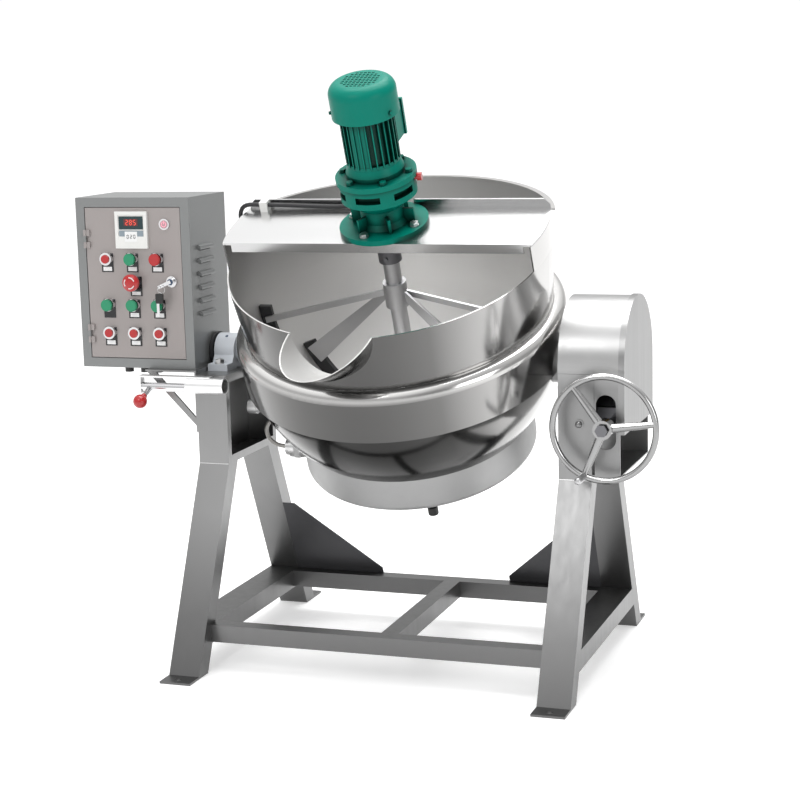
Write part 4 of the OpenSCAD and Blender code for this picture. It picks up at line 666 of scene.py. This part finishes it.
def key():
    """Key in the door lock, with its ring and its black head hanging down."""
    corner = Vector(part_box("door_lock")[1])
    at = corner - Vector((BARREL_R, 0, BARREL_R))
    rod("lock_slot_face", "lock_cam", "dark_steel", on_door(at, out=SLOT_BACK), on_door(at, out=SLOT_FRONT),
        0.0075, 0.007)
    ring = on_door(at, right=-0.019, down=0.0165, out=0.0206)
    hoop("key_ring", "lock_cam", "chrome", ring, (0.2, -1, 0), KEY_RING_R, KEY_WIRE_R, steps=32, ring=6)
    head = on_door(at, right=-0.021, down=0.036, out=0.0262)
    block("key_head", "lock_cam", "black_plastic", head + Vector((-0.0105, -0.004, -0.013)),
          head + Vector((0.0105, 0.002, 0.011)), bevel=0.004)
    block("key_blade", "lock_cam", "chrome", head + Vector((-0.008, -0.0018, -0.042)),
          head + Vector((-0.001, -0.0002, -0.012)), bevel=0.0006)


# Tilt lock: the ball lies over the solid one, and its neck leads up and back to the bolt
KNOB_AT = Vector((-0.575, -0.222, 0.611))
KNOB_R = 0.0163
KNOB_NECK = Vector((0, 0.058, 0.025)).normalized()


def knob():
    """Red ball on the tilt lock, with a collar round the end of its neck."""
    ball("knob_ball", "lock_bolt", "red_plastic", KNOB_AT, KNOB_R)
    rod("knob_collar", "lock_bolt", "red_plastic", KNOB_AT + KNOB_NECK * 0.012, KNOB_AT + KNOB_NECK * 0.024,
        0.0086, 0.0072)


# Drive, in the pot's own frame with its origin between the trunnions
BOLT_CIRCLE = 0.076
BOLT_COUNT = 6
FLANGE_TOP = 0.462
WASHER_T = 0.0019
BOLT_HEAD = 0.0054
SCREW_CIRCLE = 0.0738
SCREW_Z = 0.6125
SCREW_HEAD = 0.0045
SCREW_TURNS = (200, 335, 87)


def outward(turn):
    """Level direction at an angle in degrees."""
    return Vector((math.cos(math.radians(turn)), math.sin(math.radians(turn)), 0))


def rim_bolts():
    """Bolts of the motor flange, painted over with the gearbox."""
    for i in range(BOLT_COUNT):
        seat = outward(i * 360 / BOLT_COUNT) * BOLT_CIRCLE + Vector((0, 0, FLANGE_TOP))
        washer_top = seat + Vector((0, 0, WASHER_T))
        rod("rim_washer_%d" % (i + 1), "pot", "green_paint", seat, washer_top, 0.0084, 0.0084, place=POT)
        rod("rim_bolt_%d" % (i + 1), "pot", "green_paint", washer_top, washer_top + Vector((0, 0, BOLT_HEAD)),
            0.0083, 0.0079, 6, place=POT)


def cowl_screws():
    """Small screws round the lower edge of the fan cowl."""
    for i, turn in enumerate(SCREW_TURNS):
        out = outward(turn)
        seat = out * SCREW_CIRCLE + Vector((0, 0, SCREW_Z))
        rod("cowl_screw_%d" % (i + 1), "pot", "green_paint", seat, seat + out * SCREW_HEAD,
            0.0042, 0.0034, 12, place=POT)


# Stand: the weld across each front leg's knee, and the left bearing's port
WELD_INSET = 0.001
WELD_Y = -0.1408
KNEE_Z = 0.455
WELD_R = 0.0013
BEARING_X = -0.442
BEARING_R = 0.040
PORT_OUT = 0.0018
PORT_R = 0.0036


def frame_details():
    """Weld beads at the knees and the grease port of the left bearing."""
    for side in ("left", "right"):
        low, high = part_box("%s_a_frame" % side)
        rod("knee_weld_" + side, "stand", "zinc_steel", (low[0] + WELD_INSET, WELD_Y, KNEE_Z),
            (high[0] - WELD_INSET, WELD_Y, KNEE_Z), WELD_R, WELD_R, 8)
    out = Vector((0, -math.sin(math.radians(30)), math.cos(math.radians(30))))
    bearing = Vector((BEARING_X, 0, PIVOT_Z))
    seat = bearing + out * BEARING_R
    rod("grease_port", "stand", "dark_steel", seat, seat + out * PORT_OUT, PORT_R, PORT_R, 16)


bpy.context.scene.view_settings.view_transform = "Standard"
place_camera()
steels()
paints()
plastics()
dress_nodes()
make_world()
make_floor()
make_lamps()
legends()
stop_marks()
controller()
lamp()
key()
knob()
rim_bolts()
frame_details()
cowl_screws()
